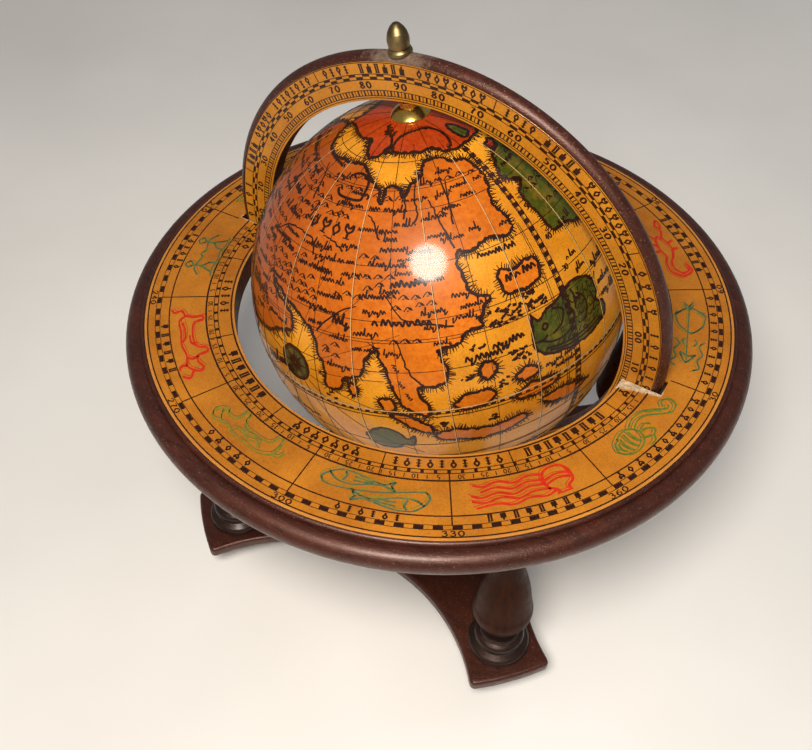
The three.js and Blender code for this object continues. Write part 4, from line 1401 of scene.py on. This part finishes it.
# Rows of made-up handwriting: first longitude, last longitude, latitude, letter height in millimetres.
LABELS = [
    (-98.5, -85.5, 56, 1.3), (-80.5, -75, 55.7, 1.2), (-68, -60.5, 51.5, 1.3), (-74, -67.5, 49.7, 1.2),
    (-72, -66.5, 47.7, 1.2), (-89, -82.5, 45.2, 1.2), (-73, -63.5, 45, 1.3), (-55, -47.5, 47.5, 1.2),
    (-47, -40, 54, 1.2), (-99, -83, 41, 1.3), (-77, -64, 41.2, 1.3), (-66.5, -60.5, 42.5, 1.1),
    (-67.5, -62, 39, 1.1), (-106, -92.5, 37.7, 1.3), (-69, -59, 36, 2.0), (-94, -85, 35.5, 1.2),
    (-94.5, -85.5, 31.5, 1.3), (-79.5, -70, 33, 1.3), (-102.5, -90.5, 27.7, 1.4), (-88, -83, 25, 2.0),
    (-75, -58, 26, 2.0), (-81, -74, 23, 1.3), (-48.5, -40.5, 28.5, 1.2), (-51.5, -44, 26, 1.2),
    (-50.5, -45, 31.7, 1.2), (-89, -83.5, 20.8, 1.2), (-81.5, -76, 18.5, 1.2), (-90, -83, 12.2, 1.3),
    (-45, -35, 64.5, 1.2), (-40, -31, 59.2, 1.2), (-37, -30.5, 56, 1.2), (-27, -23.5, 59, 1.1),
    (-39, -35.5, 47, 1.2), (-27.5, -23.5, 45.3, 1.2), (-39.5, -26, 39.5, 1.5), (-33, -22.5, 31.8, 2.0),
    (-42, -33, 16, 1.8), (-50, -40, 14, 1.8), (-3, 4, 22, 1.5), (-3, 5, 16, 1.5), (-3, 5, 12, 1.5),
    (-28, -18, 4.3, 1.2), (-25, -18, 2, 1.2), (-11, -7, 28.5, 1.2), (-9.5, -5.5, 24.3, 1.2),
    (-130, -116, 47, 1.6), (-128, -114, 40, 1.4), (-140, -126, 52, 1.8), (-112, -104, 49, 1.4),
    (-130, -118, 22, 1.8), (-118, -104, 4, 2.2), (-112, -100, -12, 1.6), (-165, -150, 18, 2.4),
    (-160, -148, 4, 1.6), (-182, -168, 26, 1.8), (-156, -146, -8, 1.4), (-168, -152, 48, 1.8),
    (-165, -150, 60, 1.8), (30, 46, 58, 2.0), (50, 70, 46, 2.4), (82, 96, 48, 1.6), (84, 104, 2, 2.4),
    (90, 108, -14, 1.8), (92, 102, -26, 1.4), (30, 50, 0, 2.4), (140, 165, 24, 2.4), (150, 172, -8, 2.2),
    (-100, -70, -32, 2.4), (-50, -25, -32, 2.2), (10, 35, -36, 2.2), (-70, -40, -66, 2.0),
    (50, 80, -72, 2.0),
]
# Clusters of short dark strokes: longitude, latitude, half their width and height, how many.
CLUSTERS = [
    (-36, 23.6, 5.2, 2.2, 46), (-26.2, 23.4, 3.2, 1.3, 22), (-35, 11.8, 3, 1.7, 26),
    (-58.5, -5.8, 1, 0.8, 8),
    (-44.5, -6.5, 1.4, 1, 10), (-25.5, -11.5, 2, 1, 12), (-40, 5, 2, 1.4, 10), (-50, 9, 2, 1.2, 10),
    (-28, 26.4, 2, 0.8, 8), (-46, 17.6, 2, 0.8, 8), (-90, 2, 2, 1, 6), (20, 20, 8, 4, 24),
    (62, -10, 6, 3, 20),
    (-178, 62, 4, 1.6, 12), (74, 22, 4, 1.6, 16), (-92, 80.5, 10, 1.6, 16), (-79.5, 74, 3, 1.2, 10),
]
MAP_TINT = 0.06  # how high the tints, the ink and the seams stand over the globe's paper
MAP_INK = 0.11
MAP_SEAM = 0.15
GRID_LINE = 0.2  # widths of the drawn lines
FINE_LINE = 0.18
SHORE_STEP = 0.6  # how far apart the points of a shore are
FILL_PITCH = 2.2  # how far apart the points inside a tint are
GORES = 14  # paper segments of the globe
FIRST_SEAM = -56
CHECKER_LON = -17  # the graduated meridian, and the degrees between its dashes
CHECKER_STEP = 2.5
NAME_ROOM = 4.3  # the least distance between scattered names or hills, and the tries for each
TRIES = 12
COMPASS = (-103, 8)
COMPASS_R = 6
GLOBE_CENTRE = Vector((0, 0, GLOBE_Z))


def shore_line(outline, rough=0.75):
    """The outline as unit vectors along a smooth, ragged shore."""
    corners = [tuple(direction(*spot)) for spot in outline]
    rounded = [Vector(p).normalized() for p in curve(corners, 6, True)]
    dense = []
    for i, here in enumerate(rounded):
        following = rounded[(i + 1) % len(rounded)]
        steps = max(1, round((following - here).length * GLOBE_R / SHORE_STEP))
        dense += [here.lerp(following, k / steps).normalized() for k in range(steps)]
    ragged = []
    for i, here in enumerate(dense):
        ahead = dense[(i + 1) % len(dense)] - dense[i - 1]
        side = here.cross(ahead).normalized()
        spot = here * GLOBE_R
        wobble = noise.noise(spot * 0.42) + 0.8 * noise.noise(spot * 1.05)
        ragged.append((here + side * wobble * rough / GLOBE_R).normalized())
    return ragged


def on_sphere(normals):
    return [GLOBE_CENTRE + n * GLOBE_R for n in normals]


def inner_grid(border):
    """Evenly spaced points that cover a flat border."""
    reach = int(max(p.length for p in border) / FILL_PITCH) + 1
    around = range(-reach, reach + 1)
    return [Vector((x * FILL_PITCH, y * FILL_PITCH)) for x in around for y in around]


def outward(face, points, normals):
    """The three-cornered face, turned over if it faces into the globe."""
    a, b, c = face
    facing = (points[b] - points[a]).cross(points[c] - points[a]).dot(normals[a])
    return (a, b, c) if facing > 0 else (a, c, b)


def fill_shape(fill_print, shore):
    """Fills a shore line with triangles that follow the sphere."""
    centre = sum(shore, Vector()).normalized()
    east = centre.orthogonal().normalized()
    north = centre.cross(east)

    def flat(p):
        angle = centre.angle(p)
        across = Vector((p.dot(east), p.dot(north))).normalized()
        return across * angle * GLOBE_R

    def raised(spot):
        angle = spot.length / GLOBE_R
        if angle < 1e-9:
            return centre.copy()
        across = (east * spot.x + north * spot.y).normalized()
        return centre * math.cos(angle) + across * math.sin(angle)

    border = [flat(p) for p in shore]
    ring = list(range(len(border)))
    spots, _, faces, _, _, _ = delaunay_2d_cdt(border + inner_grid(border), [], [ring], 1, 1e-4)
    used = sorted({i for face in faces for i in face})
    index = {old: new for new, old in enumerate(used)}
    normals = [raised(spots[i]) for i in used]
    points = on_sphere(normals)
    fill_print.shell(points, normals, [outward([index[i] for i in face], points, normals) for face in faces])


def shore_is_anticlockwise(shore):
    """True if the enclosed side is on the left of the line, seen from outside."""
    centre = sum(shore, Vector()).normalized()
    turning = sum(
        (shore[i] - shore[i - 1]).cross(shore[(i + 1) % len(shore)] - shore[i]).dot(centre)
        for i in range(len(shore))
    )
    return turning > 0


def draw_shore(black, shore, hatch=True):
    """The dark shore line, thick and thin, and the short strokes that stand out into the water."""
    widths = [1 + 0.55 * noise.noise(p * GLOBE_R * 0.6) for p in shore]
    black.ribbon(on_sphere(shore), shore, widths, True)
    if not hatch:
        return
    outwards = -1 if shore_is_anticlockwise(shore) else 1
    for i, here in enumerate(shore):
        ahead = (shore[(i + 1) % len(shore)] - shore[i - 1]).normalized()
        out = here.cross(ahead) * outwards
        reach = 1.9 + 1.6 * noise.noise(here * GLOBE_R * 0.35) + 0.9 * noise.noise(here * GLOBE_R * 2.3)
        if reach > 0.6:
            ends = [here, (here + out * reach / GLOBE_R).normalized()]
            black.ribbon(on_sphere(ends), ends, [0.4, 0.16])


def map_print(name, look, high):
    return Print("map_" + name, "globe", look, high, curved=True)


def build_map_tints(black):
    """The coloured lands, isles and beasts, each with its dark shore line."""
    tints = {
        "land": (LAND, [OLD_WORLD, SOUTH_AMERICA, *ISLES]),
        "red_land": (RED_LAND, [NORTH_LAND, BRITAIN]),
        "green_land": (GREEN_LAND, [NORTH_AMERICA, SOUTH_LAND]),
    }
    for name, (look, outlines) in tints.items():
        tint = map_print(name, look, MAP_TINT)
        for outline in outlines:
            shore = shore_line(outline)
            fill_shape(tint, shore)
            draw_shore(black, shore)
        tint.finish()
    medallion = [near_place(*COMPASS)(*polar(a, COMPASS_R)) for a in range(0, 360, 30)]
    small = {
        "whale": (DEEP_GREEN, [WHALE]),
        "fish": (GREY_GREEN, [SMALL_FISH, medallion]),
        "polar_patch": (DEEP_GREEN, [POLAR_PATCH]),
        "polar_strip": (RED_LAND, [POLAR_STRIP]),
    }
    for name, (look, outlines) in small.items():
        tint = map_print(name, look, MAP_TINT + 0.02)
        for outline in outlines:
            shore = shore_line(outline, 0.4)
            fill_shape(tint, shore)
            draw_shore(black, shore, hatch=False)
        tint.finish()


def draw_polar_shores(black):
    """Two shore lines with short strokes that stand out into the strait."""
    for path in POLAR_SHORES:
        shore = curve(path, 12)
        for i, (lon, lat) in enumerate(shore):
            shore[i] = (lon, lat + 0.7 * noise.noise(Vector((lon * 0.35, lat, 5))))
        black.line(on_globe, shore, 0.85)
        for lon, lat in shore[::2]:
            black.line(on_globe, [(lon, lat), (lon - 0.6, lat + 1.2)], [0.35, 0.14])


def draw_parallel(black, lat, width):
    black.line(on_globe, [(lon, lat) for lon in range(-180, 180, 3)], width, True)


def draw_meridian(black, lon, low, high, width):
    steps = int((high - low) / 3)
    black.line(on_globe, [(lon, low + (high - low) * i / steps) for i in range(steps + 1)], width)


def draw_graticule(black):
    """The thin net of the map, with double lines at the tropics, the circles and one meridian."""
    for lat in (70, 55.6, 41.4, 27.2, 13, -15.4, -29.6, -43.8, -58, -72.2):
        draw_parallel(black, lat, GRID_LINE)
    for lat in (21.4, 61.4, -24, -64):
        draw_parallel(black, lat, FINE_LINE)
        draw_parallel(black, lat + 0.8, FINE_LINE)
    for k in range(GORES):
        draw_meridian(black, FIRST_SEAM + (k + 0.5) * 360 / GORES, -84, 84, GRID_LINE)
    for lon in (-21.3, -20.6):
        draw_meridian(black, lon, -15, 44, FINE_LINE)


def draw_checkers(black):
    """The graduated meridian with its numbers, and the scale and the line under the equator."""
    for edge in (-0.975, 0.975):
        draw_meridian(black, CHECKER_LON + edge, -66, 70, 0.28)
    for k in range(-26, 28):
        low = CHECKER_STEP * k
        black.line(on_globe, [(CHECKER_LON, low), (CHECKER_LON, low + 1.35)], 2.0)
    for lat in (-1.45, -2.6):
        draw_parallel(black, lat, 0.3)
    for k in range(144):
        start = CHECKER_STEP * k
        black.line(on_globe, [(start, -0.95), (start + 1.3, -0.95)], 0.62)
    for k in range(1, 7):
        for sign in (-1, 1):
            lat = -1.2 + sign * 9.47 * k
            black.glyphs(on_globe, near_place(CHECKER_LON + 4.2, lat), str(10 * k), 1.7, 0.45)


def draw_seams(seam_print, black):
    """The pale gaps where the paper gores meet, each with a dark edge, and the one round the equator."""
    for k in range(GORES):
        lon = FIRST_SEAM + k * 360 / GORES
        draw_meridian(seam_print, lon, -76, 68, 0.2)
        draw_meridian(black, lon + 0.22, -76, 76, 0.16)
    draw_parallel(seam_print, -0.2, 0.34)


def sailing_line(local, bearing, length):
    """Unit vectors of a straight course that leaves the compass at its edge."""
    start = direction(*COMPASS)
    ahead = direction(*local(*polar(bearing, 4))) - start
    ahead = (ahead - start * ahead.dot(start)).normalized()
    line = []
    for step in range(15):
        angle = (7 + (length - 7) * step / 14) / GLOBE_R
        line.append(start * math.cos(angle) + ahead * math.sin(angle))
    return line


def draw_compass(black):
    """A round medallion with a star, and the sailing lines that run out of it."""
    local = near_place(*COMPASS)
    for radius, width in ((COMPASS_R, 0.9), (5.2, 0.3), (2.2, 0.45)):
        black.line(on_globe, [local(*polar(a, radius)) for a in range(0, 360, 10)], width, True)
    for k in range(16):
        reach = 5.4 if k % 2 == 0 else 3.6
        ray = [local(*polar(22.5 * k, out)) for out in (0.3, reach * 0.45, reach)]
        black.line(on_globe, ray, [0.2, 1.15 if k % 2 == 0 else 0.7, 0.08])
        line = sailing_line(local, 22.5 * k + 6, 34 + 9 * (k % 3))
        black.ribbon(on_sphere(line), line, 0.13)


def draw_rivers(black):
    """Wavering rivers that widen along their course, and the outline of an inland water."""
    for river in RIVERS:
        path = curve(river, 8)
        count = len(path)
        for i, (lon, lat) in enumerate(path):
            shift = 0.6 * noise.noise(Vector((lon * 0.7, lat * 0.7, 3.1)))
            path[i] = (lon + shift, lat + 0.6 * shift)
        black.line(on_globe, path, [0.38 + 0.3 * i / count for i in range(count)])
    black.line(on_globe, curve(INLET, 6), 0.9)


def draw_hill_row(black, lon, lat, count, dice):
    """A row of little hills, each with a filled dark side and a few strokes at its foot."""
    step = 3.1 / math.cos(math.radians(lat))
    for k in range(count):
        middle = lon + (k - (count - 1) / 2) * step
        local = near_place(middle, lat + dice.uniform(-0.7, 0.7), dice.uniform(-8, 8))
        size = dice.uniform(0.85, 1.15)
        crest = [(-1.6, -0.5), (-0.9, 0.2), (-0.2, 0.75), (0.4, 0.6), (1.5, -0.5)]
        black.stroke(on_globe, local, [(x * size, y * size) for x, y in crest], 0.34, 0.26)
        dark_side = [local(0.1, 0.55 * size), local(0.6, 0.12), local(1.35 * size, -0.42)]
        black.line(on_globe, dark_side, [0.3, 0.95, 0.3])
        black.line(on_globe, [local(-0.5, -0.35), local(0.2, -0.45)], 0.28)


def draw_hills(black):
    dice = random.Random(5)
    for lon, lat, count in HILLS:
        draw_hill_row(black, lon, lat, count, dice)


def write_row(black, first, last, lat, size, dice):
    """One row that stands for a place name: a running line of uneven waves, with no letters in it."""
    local = near_place((first + last) / 2, lat, dice.uniform(-4, 4))
    half = math.radians(last - first) * GLOBE_R * math.cos(math.radians(lat)) / 2
    x = -half
    spots = [(x, 0)]
    while x < half:
        kind = dice.random()
        step = size * dice.uniform(0.24, 0.38)
        if kind < 0.13:
            spots += [(x + 1.3 * step, size * 1.6), (x + 0.8 * step, size * 0.3)]
        elif kind < 0.2:
            spots += [(x + 0.8 * step, size * 0.5), (x + 0.2 * step, -size * 0.6)]
        else:
            height = size * dice.uniform(0.5, 0.85)
            spots += [(x + 0.7 * step, height), (x + 1.2 * step, 0.9 * height)]
        x += 2 * step
        spots.append((x, size * dice.uniform(-0.05, 0.15)))
        if dice.random() < 0.09:
            black.stroke(on_globe, local, spots, 0.3 * size, 0.19 * size, 4)
            x += 0.45 * size
            spots = [(x, 0)]
    if len(spots) > 1:
        black.stroke(on_globe, local, spots, 0.3 * size, 0.19 * size, 4)


def inside(lon, lat, outline):
    """True if the place is inside the outline, both in degrees."""
    crossed = False
    for (lon_a, lat_a), (lon_b, lat_b) in zip(outline, outline[1:] + outline[:1]):
        if (lat_a > lat) != (lat_b > lat):
            crossed ^= lon < lon_a + (lat - lat_a) / (lat_b - lat_a) * (lon_b - lon_a)
    return crossed


def fill_in(black, outline, wanted, dice):
    """Scatters more small names and hills over a land, wherever there is room left."""
    taken = [direction((first + last) / 2, lat) for first, last, lat, _ in LABELS]
    taken += [direction(lon, lat) for lon, lat, _ in HILLS]
    lons = [lon for lon, _ in outline]
    lats = [lat for _, lat in outline]
    done = 0
    for _ in range(wanted * TRIES):
        lon = dice.uniform(min(lons), max(lons))
        lat = dice.uniform(min(lats), min(max(lats), 66))
        here = direction(lon, lat)
        half = dice.uniform(2.0, 3.6) / math.cos(math.radians(lat))
        ends_on_land = all(inside(lon + k * (half + 0.8), lat, outline) for k in (-1, 0, 1))
        if not ends_on_land or min((here - other).length for other in taken) * GLOBE_R < NAME_ROOM:
            continue
        taken.append(here)
        if dice.random() < 0.82:
            write_row(black, lon - half, lon + half, lat, dice.uniform(1.3, 1.7), dice)
        else:
            draw_hill_row(black, lon, lat, dice.choice((2, 3)), dice)
        done += 1
        if done == wanted:
            return


def draw_labels(black):
    dice = random.Random(7)
    for first, last, lat, size in LABELS:
        write_row(black, first, last, lat, size * 1.25, dice)
    for outline, wanted in ((OLD_WORLD, 110), (NORTH_AMERICA, 34), (SOUTH_AMERICA, 24)):
        fill_in(black, outline, wanted, dice)
    upright = [(-1.6, 0), (-1, 1), (-0.6, 0), (0, 0.9), (0.4, 0), (1, 1.4), (1.3, 0)]
    for lon, lat in ((-69.6, 14), (-68.6, 9), (-67, 5)):
        black.stroke(on_globe, near_place(lon, lat, -68), upright, 0.34, 0.2)


def draw_big_title(black):
    """Two large ornaments by turns across the middle of the biggest land."""
    for lon, name in zip((-106, -99.5, -93.5, -87.5), ornament_run(4, 2)):
        black.glyphs(on_globe, near_place(lon, 49.4, -6), [name], 4.4, 0.85, wide=1.25)


def draw_whale(black):
    """The beast's drawn lines, its scales, and the shading strokes along its belly and its back."""
    for spots in WHALE_LINES:
        black.line(on_globe, curve(spots, 5), 0.7)
    for row in range(4):
        for k in range(5):
            local = near_place(-14 + 2.1 * k - 0.9 * (row % 2), 11.3 + 2.3 * row)
            black.stroke(on_globe, local, [(-0.8, 0.5), (-0.5, -0.4), (0.5, -0.5), (0.9, 0.4)], 0.4)
    for k in range(11):
        lon = -28 + 2.1 * k
        black.line(on_globe, [(lon, 8.2 + 0.1 * k), (lon + 1.5, 10.2)], [0.5, 0.2])
        black.line(on_globe, [(lon + 4, 20.6 - 0.3 * (k % 3)), (lon + 3, 18.6)], [0.55, 0.2])


def draw_clusters(black):
    """Short strokes and dots that mark shoals and the smallest isles."""
    dice = random.Random(11)
    for lon, lat, wide, tall, count in CLUSTERS:
        for _ in range(count):
            local = near_place(lon + dice.uniform(-1, 1) * wide, lat + dice.uniform(-1, 1) * tall)
            tilt = dice.uniform(-0.5, 0.5)
            half = dice.uniform(0.25, 0.8)
            black.line(on_globe, [local(-half, -tilt), local(half, tilt)], dice.uniform(0.45, 0.95))


def build_map():
    shores, grid, names = (map_print(name, BLACK_INK, MAP_INK) for name in ("shores", "grid", "names"))
    build_map_tints(shores)
    draw_polar_shores(shores)
    draw_whale(shores)
    draw_graticule(grid)
    draw_checkers(grid)
    draw_compass(grid)
    draw_rivers(names)
    draw_hills(names)
    draw_labels(names)
    draw_big_title(names)
    draw_clusters(names)
    seams = map_print("seams", SEAM, MAP_SEAM)
    draw_seams(seams, grid)
    for layer in (shores, grid, names, seams):
        layer.finish()


# ---------------------------------------------------------------- camera, floor and light
FLOOR_SIZE = 24000
LIGHT_TARGET = (0, 0, 110)
CAMERA_PLACE = (127.58, -228.31, 371.12)
CAMERA_DOWN = 48.2  # degrees that the camera looks down, and that it is turned about Z
CAMERA_TURN = 31.71


def build_stage():
    half = FLOOR_SIZE / 2
    corners = [(-half, -half, 0), (half, -half, 0), (half, half, 0), (-half, half, 0)]
    floor = mesh_object("floor", corners, [(0, 1, 2, 3)])
    look = Look("floor", Specular_IOR_Level=0.3)
    look.socket("Base Color", look.ramp(look.noise(6, 3), (0.3, (222, 218, 212)), (0.7, (232, 228, 222))))
    look.socket("Roughness", look.spread(look.noise(40, 3), 0.3, 0.7, 0.55, 0.65))
    floor.data.materials.append(look.material)


def add_light(name, place, width, power, colour, mirrored=True):
    """A round soft light aimed at the globe. A light that isn't mirrored leaves no highlight."""
    data = bpy.data.lights.new(name, "AREA")
    data.shape = "DISK"
    data.size = width * MM
    data.energy = power
    data.color = colour
    light = bpy.data.objects.new(name, data)
    light.location = Vector(place) * MM
    light.visible_glossy = mirrored
    aim = Vector(LIGHT_TARGET) - Vector(place)
    light.rotation_euler = aim.to_track_quat("-Z", "Y").to_euler()
    bpy.context.scene.collection.objects.link(light)


def build_lights():
    """One small key light over the front, two wide fill lights and a dim pale sky."""
    add_light("key", (118, -326, 560), 190, 4.6, (1, 0.95, 0.88))
    add_light("fill_left", (-900, -500, 700), 800, 0.8, (1, 0.97, 0.93), False)
    add_light("fill_back", (500, 900, 900), 800, 3.4, (0.95, 0.97, 1), False)
    world = bpy.data.worlds.new("studio")
    world.use_nodes = True
    background = world.node_tree.nodes["Background"]
    background.inputs["Color"].default_value = (0.95, 0.96, 1, 1)
    background.inputs["Strength"].default_value = 0.2
    bpy.context.scene.world = world
    bpy.context.scene.view_settings.view_transform = "Standard"


def build_camera():
    data = bpy.data.cameras.new("camera")
    data.lens = 44.8
    data.sensor_width = 36
    data.clip_start = 0.01
    camera = bpy.data.objects.new("camera", data)
    camera.location = Vector(CAMERA_PLACE) * MM
    camera.rotation_euler = (math.radians(90 - CAMERA_DOWN), 0, math.radians(CAMERA_TURN))
    bpy.context.scene.collection.objects.link(camera)
    bpy.context.scene.camera = camera


build_plate()
build_legs()
build_cradle()
build_horizon()
build_meridian()
build_brass()
build_globe()
dress_inner_parts()
build_horizon_print()
build_meridian_print()
build_map()
build_stage()
build_lights()
build_camera()
